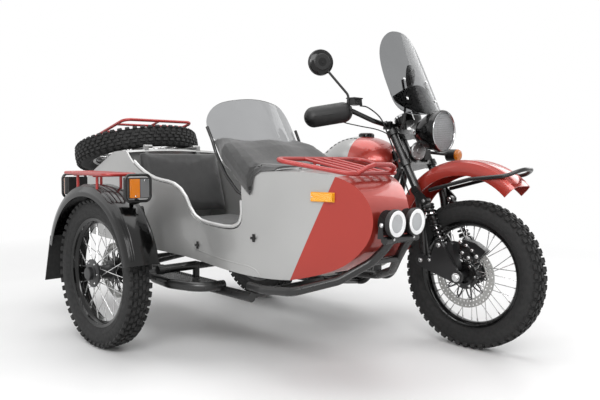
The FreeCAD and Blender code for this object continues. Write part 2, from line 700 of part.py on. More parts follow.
BACKBONE_SHARES = ((0.7, 0, 1.08), (0.6, 0, 1.0), (0.4, 0, 0.9))
CRADLE_SHARES = ((0.657, 0.75, 0.62), (0.647, 1.0, 0.33), (0.62, 1.0, 0.287), (0.2, 1.0, 0.287),
                 (0.12, 1.0, 0.45), (0.06, 1.0, 0.87))
RAIL_SHARES = ((0.42, 0.1, 0.9), (0.36, 0.92, 0.885), (0.06, 1.0, 0.905), (-0.12, 0.97, 0.9))
POST_SHARES = ((0.34, 0.93, 0.887), (0.285, 1.0, 0.29))
CROSS_SHARES = ((0.06, 0.91), (0.285, 0.287), (0.56, 0.287), (-0.11, 0.9))
STAND_AHEAD = WHEELBASE * 0.281
STAND_HEIGHT = 198.0
STAND_TUBE = 13.0
LUG_WALL = 8.0
ARM_PIVOT_AHEAD = WHEELBASE * 0.2475
ARM_TUBE = 19.0
STAND_PIVOT = V(STAND_AHEAD, 0, STAND_HEIGHT)
ARM_PIVOT = V(ARM_PIVOT_AHEAD, 0, AXLE_HEIGHT)


def backbone(radius):
    """The single tube that runs back from the steering head."""
    start = on_fork(0, 0, HEAD_TUBE_LENGTH * 0.2)
    return rod([start] + frame_points(BACKBONE_SHARES), radius)


def pivot_lug(side, place, inner, radius):
    """A plate that hangs from one cradle tube and holds a cross pivot."""
    root = V(place.x, 0, FRAME_POINT_LOW)
    near = side * (FRAME_HALF - LUG_WALL / 2)
    plate = bar_plate(root, V(place.x, 0, place.z), radius * 1.7, near, near + side * LUG_WALL)
    reach = FRAME_HALF + CUT_OVERRUN
    bore = cylinder(V(place.x, -reach, place.z), V(place.x, reach, place.z), radius + inner)
    return plate, bore


def motorcycle_frame():
    half = HEAD_TUBE_LENGTH / 2
    head = cylinder(on_fork(0, 0, -half), on_fork(0, 0, half), HEAD_TUBE_RADIUS)
    tubes = [backbone(BACKBONE_TUBE)]
    bores = []
    for side in (-1, 1):
        top = on_fork(-HEAD_TUBE_RADIUS * 0.3, side * HEAD_TUBE_RADIUS * 0.4, -half * 0.4)
        tubes.append(rod([top] + frame_points(CRADLE_SHARES, side), FRAME_TUBE, FRAME_HALF))
        tubes.append(rod(frame_points(RAIL_SHARES, side), FRAME_TUBE * 0.85, FRAME_HALF))
        tubes.append(rod(frame_points(POST_SHARES, side), FRAME_TUBE * 0.85))
        for place, radius in ((STAND_PIVOT, STAND_TUBE), (ARM_PIVOT, ARM_TUBE)):
            plate, bore = pivot_lug(side, place, AXLE_PLAY, radius)
            tubes.append(plate)
            bores.append(bore)
    for x, z in CROSS_SHARES:
        tubes.append(rod(frame_points(((x, -1, z), (x, 1, z))), FRAME_TUBE * 0.8))
    whole = join([head] + tubes)
    bores.append(cylinder(on_fork(0, 0, -half - CUT_OVERRUN), on_fork(0, 0, half + CUT_OVERRUN),
                          STEM_RADIUS + STEM_PLAY))
    return whole.cut(join(bores[:2])).cut(join(bores[2:4])).cut(bores[4])


# Boxer engine, gearbox, drive, intakes and exhausts.

ENGINE_AHEAD = WHEELBASE * 0.5184
ENGINE_HEIGHT = 400.0
CASE_LENGTH = 290.0
CASE_HALF = 120.0
CASE_HEIGHT = 270.0
GEARBOX_LENGTH = 230.0
BARREL_RADIUS = 52.0
FIN_RADIUS = 72.0
FIN_COUNT = 9
FIN_WALL = 4.0
BARREL_LENGTH = 140.0
HEAD_LENGTH = 75.0

ENGINE = V(ENGINE_AHEAD, 0, ENGINE_HEIGHT)


def rounded_block(low, high, radius):
    """A block with its edges along y rounded."""
    block = box(low, high)
    upright = [e for e in block.Edges if abs(e.tangentAt(e.FirstParameter).y) > 0.99]
    return block.makeFillet(radius, upright)


def crankcase():
    """Crankcase with sump, front cover and the gearbox bolted behind it."""
    half = CASE_LENGTH / 2
    case = rounded_block(ENGINE + V(-half, -CASE_HALF, -CASE_HEIGHT * 0.42),
                         ENGINE + V(half, CASE_HALF, CASE_HEIGHT * 0.55), CASE_HALF * 0.5)
    sump = rounded_block(ENGINE + V(-half * 0.9, -CASE_HALF * 0.72, -CASE_HEIGHT * 0.55),
                         ENGINE + V(half * 0.85, CASE_HALF * 0.72, 0), CASE_HALF * 0.2)
    cover = cylinder(ENGINE + V(half * 0.9, 0, CASE_HEIGHT * 0.1),
                     ENGINE + V(half * 1.16, 0, CASE_HEIGHT * 0.1), CASE_HALF * 0.82)
    gearbox = rounded_block(ENGINE + V(-half - GEARBOX_LENGTH, -CASE_HALF * 0.68, -CASE_HEIGHT * 0.4),
                            ENGINE + V(-half * 0.9, CASE_HALF * 0.68, CASE_HEIGHT * 0.35), CASE_HALF * 0.4)
    return join([case, sump, cover, gearbox])


def barrel(side):
    """One finned cylinder with its head and rocker cover."""
    start = ENGINE + V(0, side * (CASE_HALF + PIECE_GAP), 0)
    out = Y_AXIS * side
    shapes = [cylinder(start, start + out * (BARREL_LENGTH + HEAD_LENGTH), BARREL_RADIUS)]
    pitch = BARREL_LENGTH / FIN_COUNT
    for i in range(FIN_COUNT):
        place = start + out * pitch * (i + 0.5)
        shapes.append(cylinder(place, place + out * FIN_WALL, FIN_RADIUS))
    head = start + out * BARREL_LENGTH
    wide = FIN_RADIUS * 1.04
    split = head + out * HEAD_LENGTH * 0.55
    for near, far, half, corner in ((head, split, wide, 0.5), (split, head + out * HEAD_LENGTH, wide * 0.8, 0.75)):
        low = V(head.x - half, min(near.y, far.y), head.z - half)
        high = V(head.x + half, max(near.y, far.y), head.z + half)
        shapes.append(rounded_block(low, high, half * corner))
    return join(shapes)


def cylinders():
    return Part.makeCompound([barrel(side) for side in (-1, 1)])


INTAKE_RADIUS = 21.0
INTAKE_OUT = 200.0


def intakes():
    """Throttle bodies behind the heads, and their hoses to the air box."""
    pieces = []
    top = ENGINE + V(-CASE_LENGTH * 1.05, 0, CASE_HEIGHT * 0.62)
    for side in (-1, 1):
        port = ENGINE + V(-FIN_RADIUS * 1.12, side * INTAKE_OUT, FIN_RADIUS * 0.4)
        throat = port - X_AXIS * INTAKE_RADIUS * 4
        box_side = top + Y_AXIS * side * CASE_HALF * 0.3
        pieces.append(rod([port, throat, box_side], INTAKE_RADIUS, INTAKE_RADIUS * 3))
        body = port - X_AXIS * INTAKE_RADIUS
        pieces.append(cylinder(body, body - X_AXIS * INTAKE_RADIUS * 1.8, INTAKE_RADIUS * 1.4))
    low = top + V(-CASE_HALF * 0.9, -CASE_HALF * 0.62, -CASE_HEIGHT * 0.1)
    high = top + V(CASE_HALF * 0.5, CASE_HALF * 0.62, CASE_HEIGHT * 0.45)
    pieces.append(rounded_block(low, high, CASE_HALF * 0.25))
    return join(pieces)


PIPE_RADIUS = 19.0
MUFFLER_RADIUS = 42.0
EXHAUST_OUT = 176.0
PIPE_SHARES = ((0.06, 1.25, -0.02), (0.05, 1.1, -0.13), (-0.1, 0.98, -0.2), (-0.25, 1.0, -0.182),
               (-0.34, 1.0, -0.178))


def exhausts():
    """A pipe from each head down and back to a muffler on its own side."""
    pair = []
    for side in (-1, 1):
        port = ENGINE + V(FIN_RADIUS * 1.08, side * INTAKE_OUT * 1.05, -FIN_RADIUS * 0.3)
        points = [port]
        for x, y, z in PIPE_SHARES:
            points.append(ENGINE + V(x * WHEELBASE, side * y * EXHAUST_OUT, z * SEAT_HEIGHT))
        pipe = rod(points, PIPE_RADIUS, PIPE_RADIUS * 4)
        end = points[-1]
        back = (points[-1] - points[-2]).normalize()
        cone = Part.makeCone(PIPE_RADIUS, MUFFLER_RADIUS, MUFFLER_RADIUS * 2, end, back)
        can_end = end + back * MUFFLER_RADIUS * 11
        can = cylinder(end + back * MUFFLER_RADIUS * 2, can_end, MUFFLER_RADIUS)
        tail = Part.makeCone(MUFFLER_RADIUS, PIPE_RADIUS, MUFFLER_RADIUS * 1.2, can_end, back)
        tip = cylinder(end + back * MUFFLER_RADIUS * 12, end + back * MUFFLER_RADIUS * 13.4, PIPE_RADIUS)
        pair.append(join([pipe, cone, can, tail, tip]))
    return Part.makeCompound(pair)


# Tank, saddle and rear fender.

TANK_LENGTH = 490.0
TANK_HEIGHT = 190.0
TANK_HALF = 145.0
TANK_BACK = 60.0
TANK_BOTTOM = SEAT_HEIGHT * 0.9695
CAP_RADIUS = 38.0
TANK_SHARES = ((0.0, 0.42, 0.22, 0.48), (-0.1, 0.78, 0.06, 0.74), (-0.34, 1.0, 0.0, 0.98),
               (-0.58, 0.92, 0.0, 0.97), (-0.84, 0.62, 0.06, 0.72), (-1.0, 0.34, 0.24, 0.5))


def oval_section(x, middle, half, low, high, power=0.62):
    """A closed section across the tank: flat-bottomed, with round shoulders."""
    right = [V(x, middle - half * 0.72, low), V(x, middle - half, low + (high - low) * 0.34),
             V(x, middle - half * power, high - (high - low) * 0.1)]
    left = [V(x, 2 * middle - p.y, p.z) for p in reversed(right)]
    points = right + [V(x, middle, high)] + left
    crown = Part.BSplineCurve()
    crown.interpolate(points)
    return Part.Wire([crown.toShape(), Part.makeLine(points[-1], points[0])])


def fuel_tank():
    """Teardrop tank with a tunnel for the frame's backbone and a round cap."""
    front = HEAD_POINT.x - TANK_BACK
    wires = []
    for x, half, low, high in TANK_SHARES:
        wires.append(oval_section(front + x * TANK_LENGTH, 0, half * TANK_HALF, TANK_BOTTOM + low * TANK_HEIGHT,
                                  TANK_BOTTOM + high * TANK_HEIGHT))
    body = Part.makeLoft(wires, True, False)
    tunnel = box(V(front - TANK_LENGTH - CUT_OVERRUN, -BACKBONE_TUBE * 1.6, TANK_BOTTOM - TANK_HEIGHT),
                 V(front + CUT_OVERRUN, BACKBONE_TUBE * 1.6, TANK_BOTTOM + TANK_HEIGHT * 0.3))
    cap_place = V(front - TANK_LENGTH * 0.4, 0, TANK_BOTTOM + TANK_HEIGHT * 0.9)
    cap = cylinder(cap_place, cap_place + V(0, 0, TANK_HEIGHT * 0.17), CAP_RADIUS)
    return join([body.cut(tunnel).cut(backbone(BACKBONE_TUBE + CLEARANCE)), cap])


SADDLE_HALF = 135.0
SADDLE_THICK = 85.0
SADDLE_BASE = SEAT_HEIGHT * 0.934
SADDLE_SHARES = ((0.0, 0.5, 0.5), (-0.04, 0.62, 0.66), (-0.2, 0.92, 0.66), (-0.28, 1.0, 0.95),
                 (-0.42, 1.0, 1.0), (-0.46, 0.9, 0.85))


def saddle():
    """Two-up bench seat over the frame rails."""
    front = HEAD_POINT.x - TANK_BACK - TANK_LENGTH - CLEARANCE
    wires = []
    for x, half, high in SADDLE_SHARES:
        top = SADDLE_BASE + high * SADDLE_THICK
        wires.append(oval_section(front + x * WHEELBASE, 0, half * SADDLE_HALF, SADDLE_BASE, top, 0.8))
    return Part.makeLoft(wires, True, False)


REAR_FENDER_GAP = 42.0
REAR_FENDER_HALF = 78.0
REAR_FENDER_DEPTH = 70.0
REAR_FENDER_FIRST_DEG = 62.0
REAR_FENDER_LAST_DEG = 186.0


def rear_fender():
    return arc_fender(REAR_AXLE, TYRE_RADIUS + REAR_FENDER_GAP, REAR_FENDER_HALF, REAR_FENDER_DEPTH, FENDER_WALL,
                      REAR_FENDER_FIRST_DEG, REAR_FENDER_LAST_DEG)


TAIL_LAMP_HALF = 55.0
TAIL_LAMP_HEIGHT = 62.0


def tail_lamp():
    """Rear lamp on the fender, with the left signal on its stalk."""
    turn = math.radians(146.0)
    reach = TYRE_RADIUS + REAR_FENDER_GAP
    place = REAR_AXLE + V(math.cos(turn), 0, math.sin(turn)) * reach
    low = place + V(-TAIL_LAMP_HEIGHT, -TAIL_LAMP_HALF, PIECE_GAP)
    high = place + V(TAIL_LAMP_HEIGHT * 0.25, TAIL_LAMP_HALF, TAIL_LAMP_HEIGHT)
    body = rounded_block(low, high, TAIL_LAMP_HEIGHT * 0.3)
    middle = V((low.x + high.x) / 2, 0, (low.z + high.z) / 2)
    end = middle + Y_AXIS * SIGNAL_DEPTH * 2.6
    stalk = cylinder(middle, end, STALK_RADIUS * 1.3)
    signal = cylinder(end + X_AXIS * SIGNAL_DEPTH * 0.4, end - X_AXIS * SIGNAL_DEPTH * 0.6, SIGNAL_RADIUS)
    return join([body, stalk, signal])


# Rear swing arm, final drive, shocks, foot controls and centre stand.

ARM_HALF = 150.0
DRIVE_RADIUS = 92.0
DRIVE_WALL = 52.0
REAR_SHOCK_TOP = SEAT_HEIGHT * 0.799


def swingarm():
    """Swing arm with the bevel drive housing on the right of the rear wheel."""
    reach = ARM_HALF + ARM_TUBE
    pieces = [cylinder(ARM_PIVOT - Y_AXIS * reach, ARM_PIVOT + Y_AXIS * reach, ARM_TUBE)]
    for side in (-1, 1):
        eye = REAR_AXLE + Y_AXIS * side * ARM_HALF
        pieces.append(cylinder(ARM_PIVOT + Y_AXIS * side * ARM_HALF, eye, ARM_TUBE * 0.92))
        pieces.append(cylinder(eye - Y_AXIS * ARM_TUBE, eye + Y_AXIS * ARM_TUBE, ARM_TUBE * 1.5))
    near = -HUB_LENGTH / 2 - CLEARANCE
    pieces.append(cylinder(REAR_AXLE + Y_AXIS * near, REAR_AXLE + Y_AXIS * (near - DRIVE_WALL), DRIVE_RADIUS))
    pieces.append(Part.makeCone(DRIVE_RADIUS, DRIVE_RADIUS * 0.4, DRIVE_WALL * 0.7,
                                REAR_AXLE + Y_AXIS * (near - DRIVE_WALL), -Y_AXIS))
    pieces.append(cylinder(REAR_AXLE - Y_AXIS * ARM_HALF, REAR_AXLE + Y_AXIS * ARM_HALF, AXLE_RADIUS))
    collar = DISC_OFFSET + CLEARANCE
    pieces.append(cylinder(REAR_AXLE + Y_AXIS * collar, REAR_AXLE + Y_AXIS * ARM_HALF, AXLE_RADIUS * 2))
    return join(pieces)


def rear_shocks():
    """Both rear shocks and the sidecar wheel's shock."""
    springs = []
    for side in (-1, 1):
        out = side * (ARM_HALF + ARM_TUBE + SHOCK_BODY_RADIUS + PIECE_GAP)
        springs.append(shock(V(WHEELBASE * 0.06, out, REAR_SHOCK_TOP), REAR_AXLE + V(0, out, 0), SHOCK_RADIUS,
                             COIL_TURNS))
    springs.append(shock(SIDE_SHOCK_TOP, SIDE_SHOCK_FOOT, SHOCK_RADIUS, COIL_TURNS))
    return Part.makeCompound(springs)


PEG_RADIUS = 13.0
PEG_OUT = 215.0
PEG_SHARES = ((0.36, 0.28, 0.345), (0.104, 0.52, 0.56))
FOOT_LEVER_LENGTH = 150.0
FOOT_LEVER_RADIUS = 6.5


def foot_controls():
    """Pegs on brackets from the frame's tubes, the gear lever and the brake pedal."""
    pieces = []
    for side in (-1, 1):
        near = side * (FRAME_HALF + FRAME_TUBE + PEG_RADIUS + PIECE_GAP)
        for x, low, high in PEG_SHARES:
            root = V(x * WHEELBASE, near, low * SEAT_HEIGHT)
            knee = V(x * WHEELBASE, near, high * SEAT_HEIGHT)
            pieces.append(rod([root, knee, V(knee.x, side * PEG_OUT, knee.z)], PEG_RADIUS, PEG_RADIUS))
        x, low, high = PEG_SHARES[0]
        knee = V(x * WHEELBASE, near, high * SEAT_HEIGHT)
        toe = knee + V(FOOT_LEVER_LENGTH, 0, PEG_RADIUS)
        lever = rod([knee, toe, toe + Y_AXIS * side * PEG_RADIUS * 4], FOOT_LEVER_RADIUS, PEG_RADIUS)
        pieces[-2] = join([pieces[-2], lever])
    return Part.makeCompound(pieces)


STAND_HALF = 75.0
STAND_LENGTH = 215.0
STAND_STOWED_DEG = 8.0


def centre_stand():
    """A folded stand: two legs with round feet on one pivot tube, stowed rearward."""
    turn = math.radians(STAND_STOWED_DEG)
    back = V(-math.cos(turn), 0, math.sin(turn))
    reach = FRAME_HALF + LUG_WALL
    pieces = [cylinder(STAND_PIVOT - Y_AXIS * reach, STAND_PIVOT + Y_AXIS * reach, STAND_TUBE)]
    for side in (-1, 1):
        top = STAND_PIVOT + Y_AXIS * side * STAND_HALF
        foot = top + back * STAND_LENGTH + Y_AXIS * side * STAND_TUBE
        pieces.append(cylinder(top, foot, STAND_TUBE))
        pad = Y_AXIS * STAND_TUBE * 1.5
        pieces.append(cylinder(foot - pad, foot + pad, STAND_TUBE * 1.5))
    return join(pieces)


# Sidecar body: a side profile and a plan outline cut each other, so that the
# flat sides end in a crease and a crowned cowl runs over the nose.

TUB_MIDDLE = -TRACK * 0.5806
TUB_HALF = TRACK * 0.2258
TUB_LENGTH = WHEELBASE * 1.428
TUB_TAIL = -WHEELBASE * 0.3846
TUB_BOTTOM = 393.0
TUB_HEIGHT = 512.0
TUB_WALL = 9.0
TUB_CROWN = 24.0
REAR_CROWN_SHARE = 0.4
RIM_TUBE = 8.0
BEAD_GAP = 2.5
BEAD_BEND = 60.0
BEAD_POINTS = 28
BEAD_REAR_SHARE = 0.97
BEAD_FRONT_SHARE = 0.78

# The profile, from under the nose round to the crest and the tail, as shares
# of the body's length and height.
NOSE_SHARES = ((0.855, 0.012), (0.902, 0.066), (0.95, 0.168), (0.979, 0.271), (0.995, 0.377), (1.0, 0.486),
               (0.996, 0.576), (0.982, 0.674), (0.962, 0.742), (0.939, 0.781), (0.872, 0.82), (0.8, 0.828))
CREST_SHARES = ((0.5, 0.9), (0.32, 0.985), (0.268, 0.97))
TAIL_SHARES = ((0.04, 0.56), (0.008, 0.47), (0.0, 0.36), (0.02, 0.22), (0.07, 0.12))
FLOOR_SHARES = ((0.3, 0.075), (0.46, 0.066), (0.6, 0.055), (0.72, 0.012), (0.8, 0.0))
PLAN_SHARES = ((0.0, 0.84), (0.1, 0.94), (0.27, 1.0), (0.5, 1.0), (0.66, 1.0), (0.76, 0.935), (0.85, 0.8),
               (0.93, 0.62), (0.985, 0.46), (1.03, 0.3))


def tub_point(share_x, share_z, y):
    return V(TUB_TAIL + share_x * TUB_LENGTH, y, TUB_BOTTOM + share_z * TUB_HEIGHT)


def tub_profile(y, inset=0.0, crown=0.0):
    """The closed side outline at one y, drawn in or swollen about its middle."""
    middle = tub_point(0.5, 0.45, y)
    shares = NOSE_SHARES + CREST_SHARES + TAIL_SHARES + FLOOR_SHARES
    points = []
    for x, z in shares:
        point = tub_point(x, z, y)
        offset = V(point.x - middle.x, 0, point.z - middle.z)
        rise = crown * (1.0 if x > 0.6 else REAR_CROWN_SHARE)
        if z < 0.1:
            rise = 0.0
        swell = V(offset.x * (1 - (inset - crown * 0.4) / (TUB_LENGTH / 2)), 0,
                  offset.z * (1 - (inset - rise) / (TUB_HEIGHT / 2)))
        points.append(middle + swell)
    nose = Part.BSplineCurve()
    nose.interpolate(points[:len(NOSE_SHARES)])
    crest = points[len(NOSE_SHARES) - 1:len(NOSE_SHARES) + len(CREST_SHARES)]
    top = Part.BSplineCurve()
    top.interpolate(crest)
    tail_start = len(NOSE_SHARES) + len(CREST_SHARES)
    tail_end = tail_start + len(TAIL_SHARES)
    lid_line = Part.makeLine(points[tail_start - 1], points[tail_start])
    tail = Part.BSplineCurve()
    tail.interpolate(points[tail_start:tail_end])
    floor = Part.BSplineCurve()
    floor.interpolate(points[tail_end - 1:] + points[:1])
    return Part.Wire([nose.toShape(), top.toShape(), lid_line, tail.toShape(), floor.toShape()])


def tub_plan(inset=0.0):
    """A tall block with the body's outline seen from above."""
    right = [V(TUB_TAIL + x * TUB_LENGTH, TUB_MIDDLE - (y * TUB_HALF - inset), 0) for x, y in PLAN_SHARES]
    left = [V(p.x, 2 * TUB_MIDDLE - p.y, 0) for p in right]
    curves = []
    for row in (right, left[::-1]):
        curve = Part.BSplineCurve()
        curve.interpolate(row)
        curves.append(curve.toShape())
    face = Part.Face(Part.Wire([curves[0], Part.makeLine(right[-1], left[-1]), curves[1],
                                Part.makeLine(left[0], right[0])]))
    return face.extrude(V(0, 0, TUB_BOTTOM + TUB_HEIGHT * 2))


def tub_form(inset=0.0):
    """The closed body form, inset all round by a wall."""
    sections = []
    for share, crown in ((-1.0, 0.0), (-0.55, 0.7), (0.0, 1.0), (0.55, 0.7), (1.0, 0.0)):
        sections.append(tub_profile(TUB_MIDDLE + share * TUB_HALF, inset, crown * TUB_CROWN))
    block = Part.makeLoft(sections, True, False)
    return block.common(tub_plan(inset))


# The cockpit's opening and the trunk's, as shares of body length and height.
RIM_SHARES = ((0.312, 1.1), (0.331, 0.963), (0.386, 0.801), (0.465, 0.703), (0.5175, 0.678), (0.56, 0.584),
              (0.587, 0.441), (0.614, 0.383), (0.66, 0.359), (0.715, 0.355), (0.738, 0.392), (0.745, 0.486),
              (0.742, 0.654), (0.745, 0.85), (0.76, 1.1))
BULKHEAD_SHARE = 0.31
TRUNK_FRONT_SHARE = 0.25
TRUNK_REAR_SHARE = 0.062
TRUNK_MARGIN = 55.0


def rim_line(y):
    return [tub_point(x, z, y) for x, z in RIM_SHARES]


def cockpit_cut():
    """The space over the cockpit's rim, right across the body."""
    y = TUB_MIDDLE - TUB_HALF * 1.2
    points = rim_line(y)
    face = Part.Face(Part.Wire([rim_curve(y).toShape(), Part.makeLine(points[-1], points[0])]))
    return face.extrude(V(0, TUB_HALF * 2.4, 0))


def lid_line(share_x):
    """A point on the straight slope behind the crest."""
    x0, z0 = CREST_SHARES[-1]
    x1, z1 = TAIL_SHARES[0]
    share = (share_x - x0) / (x1 - x0)
    return tub_point(share_x, z0 + (z1 - z0) * share, 0)


SPARE_TILT_DEG = 15.0
SPARE_CENTRE = V(TUB_TAIL + TUB_LENGTH * 0.157, TUB_MIDDLE, TUB_BOTTOM + TUB_HEIGHT * 0.99)
KNUCKLE_SPREAD = 150.0
KNUCKLE_LENGTH = 22.0
KNUCKLE_RADIUS = 9.0
PIN_RADIUS = 4.0
LID_WALL = 6.0
LID_LAP = 16.0
LID_SEAT = 4.0
LID_LIFT = TUB_CROWN * REAR_CROWN_SHARE + LID_SEAT


def spare_axis():
    tilt = math.radians(SPARE_TILT_DEG)
    return V(-math.sin(tilt), 0, math.cos(tilt)), V(math.cos(tilt), 0, math.sin(tilt))


def trunk_hinge():
    """The lid's hinge line, over the crest and just ahead of the spare wheel."""
    up, ahead = spare_axis()
    front = SPARE_CENTRE + ahead * (TYRE_RADIUS + CLEARANCE) - up * (TYRE_WIDTH / 2)
    return V(front.x, TUB_MIDDLE, crest_height() + KNUCKLE_RADIUS + LID_SEAT)


def crest_height():
    """The highest line of the body, with its crown."""
    return tub_point(0, CREST_SHARES[1][1], 0).z + TUB_CROWN * REAR_CROWN_SHARE


def hinge_knuckles():
    """The body's half of both hinges, with their pins."""
    line = trunk_hinge()
    pieces = []
    for side in (-1, 1):
        near = line + Y_AXIS * side * KNUCKLE_SPREAD
        far = near + Y_AXIS * side * KNUCKLE_LENGTH
        knuckle = cylinder(near, far, KNUCKLE_RADIUS)
        low = V(near.x - KNUCKLE_RADIUS, min(near.y, far.y), crest_height() - TUB_CROWN)
        foot = box(low, V(near.x + KNUCKLE_RADIUS, max(near.y, far.y), near.z))
        pin = cylinder(near - Y_AXIS * side * (KNUCKLE_LENGTH + PIECE_GAP), far, PIN_RADIUS)
        pieces.append(join([knuckle, foot, pin]))
    return pieces


def sidecar_tub():
    """Hollow body with a cockpit, a bulkhead and a trunk under its lid."""
    outer = tub_form()
    inner = tub_form(TUB_WALL)
    high = TUB_BOTTOM + TUB_HEIGHT * 2
    side = TUB_HALF * 1.2
    bulkhead = box(tub_point(BULKHEAD_SHARE, 0, TUB_MIDDLE - side) - V(TUB_WALL / 2, 0, TUB_HEIGHT),
                   V(tub_point(BULKHEAD_SHARE, 0, 0).x + TUB_WALL / 2, TUB_MIDDLE + side, high))
    shell = outer.cut(inner.cut(bulkhead))
    shell = shell.cut(cockpit_cut())
    front, rear = lid_line(TRUNK_FRONT_SHARE), lid_line(TRUNK_REAR_SHARE)
    corners = [V(front.x, 0, front.z - TUB_HEIGHT * 0.2), V(front.x, 0, high), V(rear.x, 0, high),
               V(rear.x, 0, rear.z - TUB_HEIGHT * 0.1)]
    hatch = Part.Face(Part.makePolygon(corners + corners[:1])).extrude(V(0, (TUB_HALF - TRUNK_MARGIN) * 2, 0))
    hatch.translate(V(0, TUB_MIDDLE - TUB_HALF + TRUNK_MARGIN, 0))
    return join([shell.cut(hatch)] + hinge_knuckles())


def trunk_lid():
    """A plate over the trunk's opening, with a turned-down edge."""
    front, rear = lid_line(TRUNK_FRONT_SHARE), lid_line(TRUNK_REAR_SHARE)
    along = (rear - front).normalize()
    out = V(along.z, 0, -along.x)
    if out.z < 0:
        out = out * -1
    half = TUB_HALF - TRUNK_MARGIN + LID_LAP
    lift = out * LID_LIFT
    a = front - along * LID_LAP + lift
    b = rear + along * LID_LAP + lift
    corners = [a, b, b + out * LID_WALL, a + out * LID_WALL]
    plate = Part.Face(Part.makePolygon(corners + corners[:1])).extrude(V(0, half * 2, 0))
    plate.translate(V(0, TUB_MIDDLE - half, 0))
    pieces = [plate]
    line = trunk_hinge()
    for side in (-1, 1):
        near = line + Y_AXIS * side * (KNUCKLE_SPREAD - PIECE_GAP)
        far = near - Y_AXIS * side * KNUCKLE_LENGTH
        eye = cylinder(near, far, KNUCKLE_RADIUS)
        knee = tub_point(CREST_SHARES[-1][0], CREST_SHARES[-1][1], 0) + Z_AXIS * (LID_LIFT + LID_SEAT)
        root = a + along * LID_LAP + out * LID_WALL / 2
        front_strap = bar_plate(V(line.x, 0, line.z), V(knee.x, 0, knee.z), LID_WALL / 2, near.y, far.y)
        rear_strap = bar_plate(V(knee.x, 0, knee.z), V(root.x, 0, root.z), LID_WALL / 2, near.y, far.y)
        arm = join([eye, front_strap, rear_strap])
        bore = cylinder(near + Y_AXIS * side * KNUCKLE_LENGTH, far - Y_AXIS * side, PIN_RADIUS + PIECE_GAP)
        pieces.append(arm.cut(bore))
    return join(pieces)


POST_RADIUS = 22.0
RAIL_RADIUS = 8.0


def laid_flat(shape):
    """Turn a wheel from its running place to the spare's tilted one."""
    piece = shape.copy()
    piece.rotate(V(), X_AXIS, 90)
    piece.rotate(V(), Y_AXIS, -SPARE_TILT_DEG)
    return moved(piece, SPARE_CENTRE)


def spare_carrier():
    """Post through the spare's hub, standing on the lid."""
    up = spare_axis()[0]
    lid = lid_line(0.16) + V(0, TUB_MIDDLE, 0)
    foot = SPARE_CENTRE - up * ((SPARE_CENTRE - lid).dot(up) - LID_LIFT - LID_WALL)
    post = cylinder(foot, SPARE_CENTRE - up * (HUB_LENGTH / 2 + PIECE_GAP), POST_RADIUS)
    pin = cylinder(foot, SPARE_CENTRE + up * HUB_LENGTH * 0.6, AXLE_RADIUS)
    cap_start = SPARE_CENTRE + up * (HUB_LENGTH / 2 + PIECE_GAP)
    cap = cylinder(cap_start, SPARE_CENTRE + up * HUB_LENGTH * 0.62, POST_RADIUS)
    pad = cylinder(foot, foot + up * LID_WALL, POST_RADIUS * 2.4)
    return join([post, pin, cap, pad])


RAIL_REAR_SHARE = -0.62
RAIL_FRONT_SHARE = 0.77
RAIL_BAR_SHARES = (-0.3, 0.1, 0.5)


def luggage_rail():
    """Red rack standing over the spare wheel, parallel to it."""
    up, ahead = spare_axis()
    top = SPARE_CENTRE + up * (TYRE_WIDTH * 0.5 + RAIL_RADIUS * 5.3)
    half = TYRE_RADIUS * 0.62
    corners = ((RAIL_REAR_SHARE, -1), (RAIL_FRONT_SHARE, -1), (RAIL_FRONT_SHARE, 1), (RAIL_REAR_SHARE, 1))
    loop = [top + ahead * (x * TYRE_RADIUS) + Y_AXIS * y * half for x, y in corners]
    pieces = [rod(loop, RAIL_RADIUS, RAIL_RADIUS * 5, True)]
    for x in RAIL_BAR_SHARES:
        bar = top + ahead * (x * TYRE_RADIUS)
        pieces.append(cylinder(bar - Y_AXIS * half, bar + Y_AXIS * half, RAIL_RADIUS * 0.8))
    pieces.append(cylinder(SPARE_CENTRE + up * HUB_LENGTH * 0.62, top, RAIL_RADIUS * 1.2))
    rear, front = [top + ahead * (x * TYRE_RADIUS) for x in (RAIL_REAR_SHARE, RAIL_FRONT_SHARE)]
    pieces.append(cylinder(rear, front, RAIL_RADIUS * 0.75))
    return join(pieces)


# Seat, apron and screen of the sidecar.

CUSHION_THICK = 105.0
BACK_THICK = 95.0
SEAT_GAP = 22.0


def tub_seat_cushion():
    half = TUB_HALF - TUB_WALL - SEAT_GAP
    back = tub_point(0.41, 0.335, 0)
    front = tub_point(0.62, 0.33, 0)
    block = box(V(back.x, TUB_MIDDLE - half, back.z - CUSHION_THICK), V(front.x, TUB_MIDDLE + half, back.z))
    return block.makeFillet(CUSHION_THICK * 0.2, block.Edges)


def tub_seat_back():
    half = TUB_HALF - TUB_WALL - SEAT_GAP
    top, foot = tub_point(0.362, 0.985, 0), tub_point(0.4085, 0.355, 0)
    across = V(-BACK_THICK, 0, 0)
    corners = [top, foot, foot + across * 0.9, top + across * 0.5]
    block = Part.Face(Part.makePolygon(corners + corners[:1])).extrude(V(0, half * 2, 0))
    block.translate(V(0, TUB_MIDDLE - half, 0))
    return block.makeFillet(BACK_THICK * 0.2, block.Edges)


SHIELD_HALF = 253.0
SHIELD_HEIGHT = 224.0
SHIELD_WALL = 4.0
SHIELD_LEAN_DEG = 30.0
SHIELD_FOOT = V(TUB_TAIL + TUB_LENGTH * 0.6857, TUB_MIDDLE, TUB_BOTTOM + TUB_HEIGHT * 1.0684)
SHIELD_CURVE = 460.0
SHIELD_LOW_SHARES = ((0.95, 0.2), (0.5, 0.045), (0.0, 0.0))
SHIELD_TOP_SHARES = ((0.95, 0.2), (1.0, 0.42), (0.98, 0.66), (0.83, 0.89), (0.45, 0.985), (0.0, 1.0))


def shield_line(shares):
    """One edge of the screen from its right side to its left."""
    half = [V(0, -y * SHIELD_HALF, z * SHIELD_HEIGHT) for y, z in shares]
    curve = Part.BSplineCurve()
    curve.interpolate(half + [V(0, -p.y, p.z) for p in reversed(half[:-1])])
    return curve.toShape()


